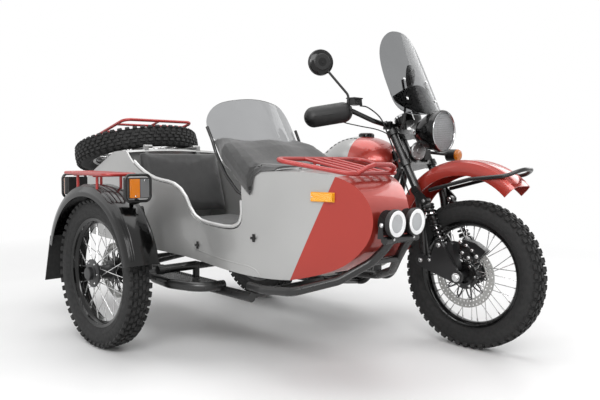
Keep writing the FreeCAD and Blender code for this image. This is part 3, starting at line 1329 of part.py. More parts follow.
def sidecar_screen():
    """Arched screen, bowed ahead and leaning back over the cockpit."""
    shell = Part.makeCylinder(SHIELD_CURVE, SHIELD_HEIGHT * 1.2, V(-SHIELD_CURVE, 0, 0), Z_AXIS)
    shell = shell.cut(Part.makeCylinder(SHIELD_CURVE - SHIELD_WALL, SHIELD_HEIGHT * 1.4,
                                        V(-SHIELD_CURVE, 0, -SHIELD_HEIGHT * 0.1), Z_AXIS))
    cutter = Part.Face(Part.Wire([shield_line(SHIELD_TOP_SHARES), shield_line(SHIELD_LOW_SHARES)]))
    cutter = cutter.extrude(V(-SHIELD_CURVE * 0.9, 0, 0))
    cutter.translate(V(CUT_OVERRUN, 0, 0))
    screen = shell.common(cutter)
    screen.rotate(V(), Y_AXIS, -SHIELD_LEAN_DEG)
    return moved(screen, SHIELD_FOOT)


STRUT_RADIUS = 7.0


def screen_struts():
    """Bent side struts from the screen's edges down to the cockpit's front corners."""
    pair = []
    for side in (-1, 1):
        shares = ((0.6328, 1.1855, 0.945), (0.6478, 1.078, 0.935), (0.655, 0.97, 0.905), (0.69, 0.79, 0.92),
                  (0.728, 0.66, 0.93), (0.752, 0.63, 0.925))
        points = [tub_point(x, z, TUB_MIDDLE + side * y * TUB_HALF) for x, z, y in shares]
        pair.append(rod(points, STRUT_RADIUS, STRUT_RADIUS * 12))
    return Part.makeCompound(pair)


APRON_WALL = 3.0
APRON_GAP = 6.0
APRON_SHOULDER = 0.96
APRON_POINTS = 21

# The apron's rows from behind the screen's foot to the cowl: place along the
# body, spread past the wall, and the heights of the middle, the shoulders and
# the hanging edge, as shares of body length, half width and height.
APRON_ROWS = ((0.64, -0.157, 1.13, 1.1, 1.09), (0.6905, 0.0, 1.085, 1.03, 0.921),
              (0.715, 0.0, 1.045, 0.985, 0.831), (0.742, 0.0, 0.975, 0.928, 0.731),
              (0.757, 0.0, 0.94, 0.89, 0.675), (0.7675, 0.0, 0.92, 0.873, 0.64),
              (0.7755, 0.0, 0.907, 0.862, 0.79), (0.79, 0.0, 0.9, 0.858, 0.83), (0.822, 0.0, 0.893, 0.852, 0.842))


def plan_half(share_x):
    """Half the body's width, straight between the points of its plan."""
    for (x0, y0), (x1, y1) in zip(PLAN_SHARES, PLAN_SHARES[1:]):
        if x0 <= share_x <= x1:
            return TUB_HALF * (y0 + (y1 - y0) * (share_x - x0) / (x1 - x0))
    return TUB_HALF * PLAN_SHARES[-1][1]


def apron_row(share_x, spread, middle, shoulder, edge):
    """One closed strip across the cockpit: high in the middle, hanging at its ends."""
    half = plan_half(share_x) + APRON_GAP + APRON_WALL + spread * TUB_HALF
    across = ((-1.0, edge), (-APRON_SHOULDER, shoulder), (-0.55, (middle + shoulder) / 2), (0.0, middle),
              (0.55, (middle + shoulder) / 2), (APRON_SHOULDER, shoulder), (1.0, edge))
    curve = Part.BSplineCurve()
    curve.interpolate([tub_point(share_x, z, TUB_MIDDLE + y * half) for y, z in across])
    upper = curve.discretize(Number=APRON_POINTS)
    lower = []
    for i, point in enumerate(upper):
        run = upper[min(i + 1, len(upper) - 1)] - upper[max(i - 1, 0)]
        lower.append(point + V(0, run.z, -run.y).normalize() * APRON_WALL)
    return Part.makePolygon(upper + lower[::-1] + upper[:1])


def apron():
    """Cloth tent from the screen's foot to the cowl, hanging over both sides."""
    cloth = Part.makeLoft([apron_row(*row) for row in APRON_ROWS], True, True)
    base = V(-SHIELD_CURVE, 0, -SHIELD_HEIGHT)
    behind = Part.makeCylinder(SHIELD_CURVE + PIECE_GAP, SHIELD_HEIGHT * 3, base, Z_AXIS)
    behind.rotate(V(), Y_AXIS, -SHIELD_LEAN_DEG)
    return cloth.cut(moved(behind, SHIELD_FOOT))


def rim_curve(y):
    curve = Part.BSplineCurve()
    curve.interpolate(rim_line(y))
    return curve


def cockpit_bead():
    """Rolled beads on the cockpit's side walls, from the crest to under the apron."""
    line = rim_curve(0).discretize(Number=BEAD_POINTS)
    lowest = line.index(min(line, key=lambda p: p.z))
    rear_top = tub_point(0, BEAD_REAR_SHARE, 0).z
    front_top = tub_point(0, BEAD_FRONT_SHARE, 0).z
    line = [p for i, p in enumerate(line) if p.z < (rear_top if i < lowest else front_top)]
    rods = []
    for side in (-1, 1):
        points = []
        for i in range(1, len(line) - 1):
            run = (line[i + 1] - line[i - 1]).normalize()
            place = line[i] + V(-run.z, 0, run.x) * (RIM_TUBE + BEAD_GAP)
            half = plan_half((line[i].x - TUB_TAIL) / TUB_LENGTH) - TUB_WALL / 2
            points.append(place + Y_AXIS * (TUB_MIDDLE + side * half))
        rods.append(rod(points, RIM_TUBE, BEAD_BEND))
    return Part.makeCompound(rods)


# Racks, fender, lamps, chassis and bumper of the sidecar.

RACK_TUBE = 9.0


RACK_REAR_SHARE = 0.825
RACK_FRONT_SHARE = 0.963
RACK_REAR_HALF_SHARE = 0.98
RACK_FRONT_HALF_SHARE = 0.5
RACK_REAR_HEIGHT_SHARE = 0.928
RACK_FRONT_HEIGHT_SHARE = 0.828
HUMP_SHARES = ((0.0, 0.37, 0.0), (0.014, 0.31, 0.042), (0.019, 0.17, 0.066))
SLAT_SHARES = (-0.3, -0.1, 0.1, 0.3)


def rack_point(along, across):
    """A point on the nose rack's plane: share from its rear to its front, share of the half width."""
    share_x = RACK_REAR_SHARE + (RACK_FRONT_SHARE - RACK_REAR_SHARE) * along
    share_z = RACK_REAR_HEIGHT_SHARE + (RACK_FRONT_HEIGHT_SHARE - RACK_REAR_HEIGHT_SHARE) * along
    return tub_point(share_x, share_z, TUB_MIDDLE + across * TUB_HALF)


def nose_rack():
    """Luggage rack on the cowl: a bent frame with slats, feet and a front hump."""
    wide, narrow = RACK_REAR_HALF_SHARE, RACK_FRONT_HALF_SHARE
    loop = [rack_point(0, -wide), rack_point(1, -narrow), rack_point(1, narrow), rack_point(0, wide)]
    pieces = [rod(loop, RACK_TUBE, RACK_TUBE * 5, True)]
    right = [rack_point(1, -y) + V(x * TUB_LENGTH, 0, z * TUB_HEIGHT) for x, y, z in HUMP_SHARES]
    left = [V(p.x, 2 * TUB_MIDDLE - p.y, p.z) for p in reversed(right)]
    pieces.append(rod(right + left, RACK_TUBE, RACK_TUBE * 3))
    for y in SLAT_SHARES:
        pieces.append(cylinder(rack_point(0, y), rack_point(1, y), RACK_TUBE * 0.7))
    for along in (0.2, 0.8):
        for y in (SLAT_SHARES[0], SLAT_SHARES[-1]):
            foot = rack_point(along, y)
            pieces.append(cylinder(foot, foot - Z_AXIS * TUB_HEIGHT * 0.1, RACK_TUBE * 0.65))
    return join(pieces)


SIDE_FENDER_GAP = 62.0
SIDE_FENDER_INNER = 62.0
SIDE_FENDER_OUTER = 90.0
SIDE_FENDER_DEPTH = 55.0
SIDE_FENDER_FIRST_DEG = 12.0
SIDE_FENDER_LAST_DEG = 165.0
SIDE_FENDER_RADIUS = TYRE_RADIUS + SIDE_FENDER_GAP
FENDER_RACK_RISE = 46.0
SIDE_FENDER_MIDDLE = -TRACK - (SIDE_FENDER_OUTER - SIDE_FENDER_INNER) / 2


def sidecar_fender():
    half = (SIDE_FENDER_INNER + SIDE_FENDER_OUTER) / 2
    centre = V(SIDE_AXLE.x, SIDE_FENDER_MIDDLE, SIDE_AXLE.z)
    return arc_fender(centre, SIDE_FENDER_RADIUS, half, SIDE_FENDER_DEPTH, FENDER_WALL, SIDE_FENDER_FIRST_DEG,
                      SIDE_FENDER_LAST_DEG)


FLAP_HEIGHT = 190.0
FLAP_WALL = 6.0


def mudflap():
    """Rubber flap that carries the fender's rear edge down."""
    turn = math.radians(SIDE_FENDER_LAST_DEG)
    reach = SIDE_FENDER_RADIUS - FENDER_WALL * 4
    top = V(SIDE_AXLE.x + math.cos(turn) * reach, 0, SIDE_AXLE.z + math.sin(turn) * reach)
    lean = V(-FLAP_HEIGHT * 0.3, 0, -FLAP_HEIGHT)
    wall = V(FLAP_WALL, 0, 0)
    corners = [top - lean * 0.2, top + lean, top + lean + wall, top - lean * 0.2 + wall]
    flap = Part.Face(Part.makePolygon(corners + corners[:1]))
    width = SIDE_FENDER_INNER + SIDE_FENDER_OUTER - FENDER_WALL * 2
    flap = flap.extrude(V(0, width, 0))
    flap.translate(V(0, SIDE_FENDER_MIDDLE - width / 2, 0))
    return flap


def fender_rack():
    """Small slatted rack on four feet over the sidecar fender."""
    middle = V(SIDE_AXLE.x, SIDE_FENDER_MIDDLE, SIDE_AXLE.z + SIDE_FENDER_RADIUS + FENDER_RACK_RISE)
    half = (SIDE_FENDER_INNER + SIDE_FENDER_OUTER) / 2
    length = SIDE_FENDER_RADIUS * 0.5
    corners = [middle + V(x * length, y * half, 0) for x, y in ((-1, -1), (1, -1), (1, 1), (-1, 1))]
    pieces = [rod(corners, RACK_TUBE * 0.8, RACK_TUBE * 4, True)]
    for y in (-0.5, 0.0, 0.5):
        start = middle + V(-length, y * half, 0)
        pieces.append(cylinder(start, start + X_AXIS * length * 2, RACK_TUBE * 0.6))
    for x in (-0.45, 0.45):
        bar = middle + V(x * length, 0, -RACK_TUBE * 0.9)
        pieces.append(cylinder(bar - Y_AXIS * half, bar + Y_AXIS * half, RACK_TUBE * 0.5))
        for y in (-0.75, 0.75):
            top = bar + Y_AXIS * y * half
            pieces.append(cylinder(top, top - Z_AXIS * FENDER_RACK_RISE * 1.4, RACK_TUBE * 0.7))
    return join(pieces)


SIDE_LAMP_HALF = 48.0
SIDE_LAMP_HEIGHT = 88.0
SIDE_LAMP_DEPTH = 52.0
SIDE_LAMP_RISE = 75.0
SIDE_LAMP_FIRST_DEG = 55.6
SIDE_LAMP_LAST_DEG = 127.0
GUARD_TUBE = 6.0


def lamp_place(degrees, rise):
    """A point over the sidecar fender, at an angle about its axle."""
    turn = math.radians(degrees)
    middle = V(SIDE_AXLE.x, -TRACK + SIDE_LAMP_DEPTH * 0.27, SIDE_AXLE.z)
    return middle + V(math.cos(turn), 0, math.sin(turn)) * (SIDE_FENDER_RADIUS + rise)


def fender_lamps():
    """Front turn and position lamp and rear lamp over the sidecar fender."""
    pieces = []
    for degrees in (SIDE_LAMP_FIRST_DEG, SIDE_LAMP_LAST_DEG):
        place = lamp_place(degrees, SIDE_LAMP_RISE)
        size = V(SIDE_LAMP_DEPTH / 2, SIDE_LAMP_HALF, SIDE_LAMP_HEIGHT / 2)
        pieces.append(rounded_block(place - size, place + size, SIDE_LAMP_DEPTH * 0.2))
    return Part.makeCompound(pieces)


def lamp_guards():
    """Bent tube round each fender lamp, on a post that carries the lamp."""
    guards = []
    for degrees, ahead in ((SIDE_LAMP_FIRST_DEG, 1), (SIDE_LAMP_LAST_DEG, -1)):
        place = lamp_place(degrees, SIDE_LAMP_RISE)
        middle = place + X_AXIS * ahead * SIDE_LAMP_DEPTH * 0.3
        half = SIDE_LAMP_HALF + GUARD_TUBE * 2
        high = SIDE_LAMP_HEIGHT / 2 + GUARD_TUBE * 2
        loop = [middle + V(0, y * half, z * high) for y, z in ((-1, -1), (1, -1), (1, 1), (-1, 1))]
        foot = lamp_place(degrees, -CLEARANCE)
        floor = middle - Z_AXIS * high
        post = rod([V(floor.x, floor.y, floor.z), foot], GUARD_TUBE * 1.6)
        shelf = cylinder(floor, V(place.x, place.y, floor.z), GUARD_TUBE)
        stem = cylinder(V(place.x, place.y, floor.z - GUARD_TUBE), place, GUARD_TUBE)
        guards.append(join([rod(loop, GUARD_TUBE, GUARD_TUBE * 4, True), post, shelf, stem]))
    return Part.makeCompound(guards)


CHASSIS_TUBE = 20.0
CHASSIS_HEIGHT = 300.0
CHASSIS_HALF = TRACK * 0.1935


def chassis_point(x, y, z):
    """A point as shares of the body's length, the chassis half width and height."""
    return V(TUB_TAIL + x * TUB_LENGTH, TUB_MIDDLE + y * CHASSIS_HALF, z * CHASSIS_HEIGHT)


def sidecar_chassis():
    """Tubes under the body, four struts to the motorcycle and the shock's tower."""
    pieces = []
    for side in (-1, 1):
        pieces.append(cylinder(chassis_point(0.2, side, 1), chassis_point(0.76, side, 1), CHASSIS_TUBE))
    for x in (0.22, 0.4, 0.74):
        pieces.append(cylinder(chassis_point(x, -1, 1), chassis_point(x, 1, 1), CHASSIS_TUBE * 0.9))
    frame_side = -FRAME_HALF - FRAME_TUBE - PIECE_GAP
    low_front = V(WHEELBASE * 0.6, frame_side, FRAME_POINT_LOW)
    low_rear = V(WHEELBASE * 0.16, frame_side, SEAT_HEIGHT * 0.3685)
    high_front = V(WHEELBASE * 0.63, frame_side * 0.75, SEAT_HEIGHT * 0.68)
    high_rear = V(WHEELBASE * 0.085, frame_side, SEAT_HEIGHT * 0.7)
    for start, end in ((chassis_point(0.74, 1, 1), low_front), (chassis_point(0.4, 1, 1), low_rear),
                       (chassis_point(0.7, 1, 1), high_front), (chassis_point(0.33, 1, 1), high_rear)):
        pieces.append(cylinder(start, end, CHASSIS_TUBE * 0.7))
        pieces.append(Part.makeSphere(CHASSIS_TUBE * 1.1, start))
    tower = [chassis_point(0.471, -1, 1), chassis_point(0.457, -1.33, 1.33),
             V(SIDE_SHOCK_TOP.x, TUB_MIDDLE - CHASSIS_HALF * 1.42, SIDE_SHOCK_TOP.z)]
    pieces.append(rod(tower, CHASSIS_TUBE * 0.7, CHASSIS_TUBE * 2))
    pin_end = V(tower[-1].x, SIDE_SHOCK_TOP.y + SHOCK_EYE_RADIUS + PIECE_GAP, tower[-1].z)
    pieces.append(cylinder(tower[-1] + Y_AXIS * CHASSIS_TUBE * 0.5, pin_end, AXLE_RADIUS))
    return join(pieces)


SIDE_ARM_AHEAD = 330.0
SIDE_ARM_RISE = 43.0
DRIVE_SHAFT_RADIUS = 12.0
DRIVE_SHAFT_BACK = 55.0


def sidecar_swingarm():
    """Trailing arm and axle of the sidecar wheel, with its drive shaft."""
    near = SIDE_AXLE.y + DISC_OFFSET + CLEARANCE
    arm_y = near + ARM_TUBE * 1.5
    pivot = V(SIDE_AXLE.x + SIDE_ARM_AHEAD, arm_y, AXLE_HEIGHT + SIDE_ARM_RISE)
    inner = V(pivot.x, TUB_MIDDLE - CHASSIS_HALF, pivot.z)
    axle_arm = V(SIDE_AXLE.x, arm_y, AXLE_HEIGHT)
    pieces = [cylinder(pivot, axle_arm, ARM_TUBE * 1.15)]
    pieces.append(cylinder(SIDE_AXLE - Y_AXIS * HUB_LENGTH * 0.62, axle_arm, AXLE_RADIUS))
    pieces.append(cylinder(axle_arm - Y_AXIS * ARM_TUBE * 1.5, axle_arm + Y_AXIS * ARM_TUBE * 2, ARM_TUBE * 2))
    pieces.append(cylinder(pivot - Y_AXIS * ARM_TUBE * 1.3, inner, ARM_TUBE))
    chassis_top = V(inner.x, inner.y, CHASSIS_HEIGHT)
    pieces.append(cylinder(inner + Z_AXIS * ARM_TUBE * 0.8, chassis_top, ARM_TUBE * 0.8))
    shaft_end = V(-DRIVE_SHAFT_BACK, -HUB_LENGTH / 2 - CLEARANCE - DRIVE_WALL * 1.8, AXLE_HEIGHT)
    pieces.append(cylinder(axle_arm, shaft_end, DRIVE_SHAFT_RADIUS))
    return join(pieces)


SIDE_SHOCK_FOOT = V(SIDECAR_LEAD + 60.0, -TRACK + DISC_OFFSET + CLEARANCE + ARM_TUBE * 1.5, AXLE_HEIGHT + 35.0)
SIDE_SHOCK_TOP = SIDE_SHOCK_FOOT + V(-30.0, 15.0, 250.0)

STEP_TUBE = 21.0
STEP_SHARES = ((0.424, -1.0, 1.08), (0.453, -1.35, 1.093), (0.527, -1.604, 1.093), (0.597, -1.6875, 1.093),
               (0.669, -1.496, 1.093), (0.672, -1.0, 1.08))


def step_bar():
    """Curved step tube beside the body, with a tread plate behind it."""
    points = [chassis_point(x, y, z) for x, y, z in STEP_SHARES]
    bar = rod(points, STEP_TUBE, STEP_TUBE * 4)
    edge = points[0].y - CHASSIS_TUBE * 1.2
    outline = [V(p.x, p.y, 0) for p in points[1:-1]]
    outline = [V(points[0].x + STEP_TUBE, edge, 0)] + outline + [V(points[-1].x, edge, 0)]
    plate = Part.Face(Part.makePolygon(outline + outline[:1])).extrude(V(0, 0, FENDER_WALL))
    plate.translate(V(0, 0, CHASSIS_HEIGHT * STEP_SHARES[1][2]))
    return join([bar, plate])


BUMPER_TUBE = 17.0
BUMPER_SHARES = ((0.765, 1.1, 1.18), (0.81, 1.14, 1.18), (0.88, 1.08, 1.22), (0.95, 0.68, 1.4),
                 (0.9906, 0.34, 1.637), (1.01, 0.25, 1.8), (1.0234, 0.24, 1.93))


def bumper():
    """Tubes that rise round the nose to a cross piece under the spot lamps."""
    ends = []
    pieces = []
    for side in (-1, 1):
        points = [chassis_point(x, y * side, z) for x, y, z in BUMPER_SHARES]
        pieces.append(rod(points, BUMPER_TUBE, BUMPER_TUBE * 6))
        x, y, z = BUMPER_SHARES[-1]
        ends.append(chassis_point(x, side * y * 1.7, z))
    low = chassis_point(*BUMPER_SHARES[4])
    pieces.append(cylinder(ends[0], ends[1], BUMPER_TUBE * 0.9))
    pieces.append(cylinder(low, V(low.x, 2 * TUB_MIDDLE - low.y, low.z), BUMPER_TUBE * 0.8))
    return join(pieces)


SPOT_RADIUS = 52.0
SPOT_DEPTH = 60.0
SPOT_SPREAD = 61.0
SPOT_CENTRE = V(TUB_TAIL + TUB_LENGTH * 1.0375, TUB_MIDDLE, TUB_BOTTOM + TUB_HEIGHT * 0.4824)
SPOT_FINS = 5


def spot_lamps():
    """Two round spot lamps with finned housings."""
    pair = []
    for side in (-1, 1):
        face = SPOT_CENTRE + Y_AXIS * side * SPOT_SPREAD
        pieces = [cylinder(face, face - X_AXIS * SPOT_DEPTH * 0.35, SPOT_RADIUS),
                  cylinder(face, face - X_AXIS * SPOT_DEPTH, SPOT_RADIUS * 0.62)]
        pitch = SPOT_DEPTH * 0.6 / SPOT_FINS
        for i in range(SPOT_FINS):
            start = face - X_AXIS * (SPOT_DEPTH * 0.38 + pitch * i)
            pieces.append(cylinder(start, start - X_AXIS * pitch * 0.45, SPOT_RADIUS * 0.92))
        foot = face - X_AXIS * SPOT_DEPTH * 0.5
        pieces.append(cylinder(foot, foot - Z_AXIS * SPOT_RADIUS * 1.15, BUMPER_TUBE * 0.7))
        pair.append(join(pieces))
    return Part.makeCompound(pair)


def build():
    """Every piece by its name, still about the rear wheel's place on the ground."""
    wheel_tyre = tyre()
    wheel = wire_wheel()
    front_disc = brake_disc(FRONT_DISC_RADIUS, -1)
    rear_disc = brake_disc(REAR_DISC_RADIUS, 1)
    return {
        "front_tyre": moved(wheel_tyre, FRONT_AXLE),
        "front_wheel": moved(wheel, FRONT_AXLE),
        "front_disc": moved(front_disc, FRONT_AXLE),
        "rear_tyre": moved(wheel_tyre, REAR_AXLE),
        "rear_wheel": moved(wheel, REAR_AXLE),
        "rear_disc": moved(rear_disc, REAR_AXLE),
        "sidecar_tyre": moved(wheel_tyre, SIDE_AXLE),
        "sidecar_wheel": moved(wheel, SIDE_AXLE),
        "sidecar_disc": moved(rear_disc, SIDE_AXLE),
        "spare_tyre": laid_flat(wheel_tyre),
        "spare_wheel": laid_flat(wheel),
        "fork_frame": fork_frame(),
        "fork_links": fork_links(),
        "fork_shocks": fork_shocks(),
        "front_caliper": front_caliper(),
        "front_fender": front_fender(),
        "fender_hoop": fender_hoop(),
        "handlebar": handlebar(),
        "hand_guards": hand_guards(),
        "mirrors": mirrors(),
        "headlamp": join([headlamp()] + lamp_ears()),
        "instruments": instruments(),
        "bike_screen": bike_screen(),
        "front_signals": front_signals(),
        "motorcycle_frame": motorcycle_frame(),
        "crankcase": crankcase(),
        "cylinders": cylinders(),
        "intakes": intakes(),
        "exhausts": exhausts(),
        "fuel_tank": fuel_tank(),
        "saddle": saddle(),
        "rear_fender": rear_fender(),
        "tail_lamp": tail_lamp(),
        "swingarm": swingarm(),
        "shocks": rear_shocks(),
        "foot_controls": foot_controls(),
        "centre_stand": centre_stand(),
        "sidecar_tub": sidecar_tub(),
        "trunk_lid": trunk_lid(),
        "spare_carrier": spare_carrier(),
        "luggage_rail": luggage_rail(),
        "cockpit_bead": cockpit_bead(),
        "seat_cushion": tub_seat_cushion(),
        "seat_back": tub_seat_back(),
        "sidecar_screen": sidecar_screen(),
        "screen_struts": screen_struts(),
        "apron": apron(),
        "nose_rack": nose_rack(),
        "sidecar_fender": sidecar_fender(),
        "mudflap": mudflap(),
        "fender_rack": fender_rack(),
        "fender_lamps": fender_lamps(),
        "lamp_guards": lamp_guards(),
        "sidecar_chassis": sidecar_chassis(),
        "sidecar_swingarm": sidecar_swingarm(),
        "step_bar": step_bar(),
        "bumper": bumper(),
        "spot_lamps": spot_lamps(),
    }


# Pieces that seat on others: each is cut back to the face of what carries it.
SEATS = (("spare_carrier", "trunk_lid"), ("front_signals", "fork_frame"), ("instruments", "fork_frame"),
         ("mirrors", "handlebar"), ("handlebar", "fork_frame"), ("hand_guards", "handlebar"),
         ("exhausts", "cylinders"), ("tail_lamp", "rear_fender"), ("mudflap", "sidecar_fender"),
         ("fender_rack", "sidecar_fender"), ("sidecar_chassis", "motorcycle_frame"),
         ("step_bar", "sidecar_chassis"), ("sidecar_swingarm", "sidecar_chassis"),
         ("nose_rack", "sidecar_tub"), ("shocks", "sidecar_swingarm"), ("shocks", "swingarm"),
         ("bike_screen", "headlamp"), ("foot_controls", "motorcycle_frame"), ("apron", "sidecar_tub"),
         ("screen_struts", "sidecar_tub"), ("lamp_guards", "sidecar_fender"), ("fender_lamps", "lamp_guards"),
         ("spot_lamps", "bumper"), ("bumper", "sidecar_chassis"), ("headlamp", "fork_frame"),
         ("hand_guards", "mirrors"), ("instruments", "handlebar"), ("sidecar_chassis", "shocks"))
CRUMB_SHARE = 0.02


def seat_all(pieces):
    """Cut every seated piece by its carrier, keeping its large solids."""
    for name, carrier in SEATS:
        cut = pieces[name].cut(pieces[carrier])
        largest = max(solid.Volume for solid in cut.Solids)
        kept = [solid for solid in cut.Solids if solid.Volume > largest * CRUMB_SHARE]
        pieces[name] = kept[0] if len(kept) == 1 else Part.makeCompound(kept)
    return pieces


def middle_of(pieces):
    """The ground point under the middle of the whole outfit."""
    bounds = FreeCAD.BoundBox()
    for shape in pieces.values():
        bounds.add(shape.optimalBoundingBox(False))
    return V(bounds.Center.x, bounds.Center.y, bounds.ZMin)


def export(pieces):
    os.makedirs("parts", exist_ok=True)
    origin = middle_of(pieces)
    for name, shape in pieces.items():
        moved(shape, -origin).exportStep("parts/" + name + ".step")


PIECES = seat_all(build())
export(PIECES)
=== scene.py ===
import math

import bmesh
import bpy
from mathutils import Matrix, Vector, noise
from mathutils.bvhtree import BVHTree


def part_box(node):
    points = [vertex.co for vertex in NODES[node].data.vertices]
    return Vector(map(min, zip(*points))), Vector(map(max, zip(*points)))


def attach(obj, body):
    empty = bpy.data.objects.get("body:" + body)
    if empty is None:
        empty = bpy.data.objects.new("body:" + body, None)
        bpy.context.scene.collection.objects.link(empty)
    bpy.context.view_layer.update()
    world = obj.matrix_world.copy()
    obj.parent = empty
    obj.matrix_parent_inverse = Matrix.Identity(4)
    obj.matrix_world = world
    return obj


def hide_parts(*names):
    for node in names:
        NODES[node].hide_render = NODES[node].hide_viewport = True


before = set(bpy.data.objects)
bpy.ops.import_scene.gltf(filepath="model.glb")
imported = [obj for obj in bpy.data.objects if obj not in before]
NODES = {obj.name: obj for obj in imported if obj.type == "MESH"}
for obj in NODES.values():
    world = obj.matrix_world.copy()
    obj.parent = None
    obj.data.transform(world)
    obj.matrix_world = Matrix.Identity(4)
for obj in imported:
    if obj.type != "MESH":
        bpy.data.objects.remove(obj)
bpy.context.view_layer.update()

MM = 0.001
X = Vector((1, 0, 0))
Y = Vector((0, 1, 0))
Z = Vector((0, 0, 1))


def middle(node):
    low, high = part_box(node)
    return (low + high) / 2


REAR = middle("rear_tyre")
FRONT = middle("front_tyre")
SIDE = middle("sidecar_tyre")
TYRE_RADIUS = (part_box("front_tyre")[1].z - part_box("front_tyre")[0].z) / 2


def spot(x, y, z):
    """A point in millimetres ahead of, left of and above the ground under the rear axle."""
    return Vector((REAR.x + x * MM, REAR.y + y * MM, z * MM))


# Camera, at the photograph's angle on the front wheel's axle.

CAMERA_OFFSET = Vector((1.522, -2.643, 0.544))
CAMERA_AZIMUTH = math.radians(45.22)
CAMERA_DIP = math.radians(4.07)
CAMERA_ROLL = math.radians(0.57)
CAMERA_LENS = 38.4


def make_camera():
    data = bpy.data.cameras.new("camera")
    data.lens = CAMERA_LENS
    data.sensor_width = 36
    camera = linked("camera", data)
    level = math.cos(CAMERA_DIP)
    ahead = Vector((-math.sin(CAMERA_AZIMUTH) * level, math.cos(CAMERA_AZIMUTH) * level,
                    -math.sin(CAMERA_DIP)))
    right = ahead.cross(Z).normalized()
    up = right.cross(ahead)
    c, s = math.cos(CAMERA_ROLL), math.sin(CAMERA_ROLL)
    right, up = right * c + up * s, up * c - right * s
    turn = Matrix((right, up, -ahead)).transposed().to_4x4()
    camera.matrix_world = Matrix.Translation(FRONT + CAMERA_OFFSET) @ turn
    bpy.context.scene.camera = camera


# Materials.

def linear(*screen):
    """A screen colour, 0 to 255, as the linear numbers a shader takes."""
    parts = [v / 255 for v in screen]
    return [v / 12.92 if v <= 0.04045 else ((v + 0.055) / 1.055) ** 2.4 for v in parts] + [1.0]


class Tree:
    """The nodes of a new material or of the world, with short calls for the ones used here."""

    def __init__(self, name, world=None):
        self.material = world or bpy.data.materials.new(name)
        self.material.use_nodes = True
        self.nodes = self.material.node_tree.nodes
        self.shader = self.nodes.get("Principled BSDF")
        self.place = self.node("TexCoord", {}, "Object")

    def link(self, source, target):
        self.material.node_tree.links.new(source, target)

    def set(self, **values):
        for name, value in values.items():
            self.shader.inputs[name.replace("_", " ").title().replace("Ior", "IOR")].default_value = value

    def node(self, kind, values, output=0, **settings):
        """One output of a new node, whose inputs are linked or set."""
        node = self.nodes.new("ShaderNode" + kind)
        for name, value in settings.items():
            setattr(node, name, value)
        for name, value in values.items():
            if isinstance(value, bpy.types.NodeSocket):
                self.link(value, node.inputs[name])
            else:
                node.inputs[name].default_value = value
        return node.outputs[output]

    def noise(self, scale, detail=3.0, rough=0.55, place=None):
        values = {"Scale": scale, "Detail": detail, "Roughness": rough, "Vector": place or self.place}
        return self.node("TexNoise", values, "Fac")

    def cells(self, scale):
        return self.node("TexVoronoi", {"Scale": scale, "Vector": self.place}, "Distance")

    def spread(self, value, low, high, start=0.3, end=0.7):
        values = {"Value": value, "From Min": start, "From Max": end, "To Min": low, "To Max": high}
        return self.node("MapRange", values, "Result")

    def mix(self, factor, first, second, kind="MIX"):
        return self.node("Mix", {0: factor, 6: first, 7: second}, 2, data_type="RGBA", blend_type=kind)

    def maths(self, kind, first, second=0.0):
        return self.node("Math", {0: first, 1: second}, operation=kind)

    def along(self, direction):
        """How far a point lies along a direction, in metres."""
        return self.node("VectorMath", {0: self.place, 1: direction}, "Value", operation="DOT_PRODUCT")

    def bump(self, height, strength, depth):
        values = {"Strength": strength, "Distance": depth, "Height": height}
        self.link(self.node("Bump", values, "Normal"), self.shader.inputs["Normal"])

    def colour(self, source):
        self.link(source, self.shader.inputs["Base Color"])

    def mottle(self, base, dark, light, scale, detail):
        """Cloudy patches between a darker and a lighter shade of a colour."""
        return self.mix(self.spread(self.noise(scale, detail), 0, 1), shade(base, dark), shade(base, light))

    def roughness(self, low, high, scale, detail):
        self.rough(self.noise(scale, detail), low, high)

    def rough(self, source, low, high):
        self.link(self.spread(source, low, high), self.shader.inputs["Roughness"])


def shade(colour, factor):
    return [min(1.0, v * factor) for v in colour[:3]] + [1.0]


def paint(name, screen, metallic=0.0, rough=0.32, coat=0.8, split=None, shine=0.5):
    """Sprayed paint: faint mottling, fine flake, orange peel, dust in the gloss."""
    t = Tree(name)
    colour = t.mottle(linear(*screen), 0.94, 1.05, 2.6, 2.0)
    if split:
        other, direction, edge = split
        side = t.spread(t.along(direction), 0, 1, edge - SPLIT_BLUR, edge + SPLIT_BLUR)
        colour = t.mix(side, colour, t.mottle(linear(*other), 0.94, 1.05, 2.6, 2.0))
    if metallic:
        flakes = t.spread(t.cells(2600.0), 0.93, 1.08, 0.1, 0.7)
        colour = t.mix(1.0, colour, flakes, "MULTIPLY")
    t.colour(colour)
    t.roughness(rough - 0.03, rough + 0.06, 38.0, 3.0)
    t.set(metallic=metallic, coat_weight=coat, coat_roughness=0.06, specular_ior_level=shine)
    t.bump(t.noise(210.0, 2.0), 0.05, 0.0006)
    return t.material


def coated(name, screen, rough=0.45, texture=700.0, depth=0.25, coat=0.0):
    """Powder coat or moulded plastic: even colour, fine pebbled grain, rubbed patches."""
    t = Tree(name)
    t.colour(t.mottle(linear(*screen), 0.82, 1.25, 14.0, 4.0))
    t.roughness(rough - 0.06, rough + 0.1, 46.0, 4.0)
    t.set(coat_weight=coat, coat_roughness=0.12)
    t.bump(t.noise(texture, 2.0), depth, 0.0004)
    return t.material


def bare_metal(name, screen, rough=0.28, scale=90.0, depth=0.12, brushed=(1, 1, 1)):
    """Steel or alloy with a grain along one way and small stains."""
    t = Tree(name)
    grain = t.noise(scale, 4.0, 0.6, t.node("Mapping", {"Scale": brushed, "Vector": t.place}, "Vector"))
    t.colour(t.mottle(linear(*screen), 0.8, 1.08, 9.0, 5.0))
    t.rough(grain, rough - 0.08, rough + 0.14)
    t.set(metallic=1.0)
    t.bump(grain, depth, 0.0003)
    return t.material


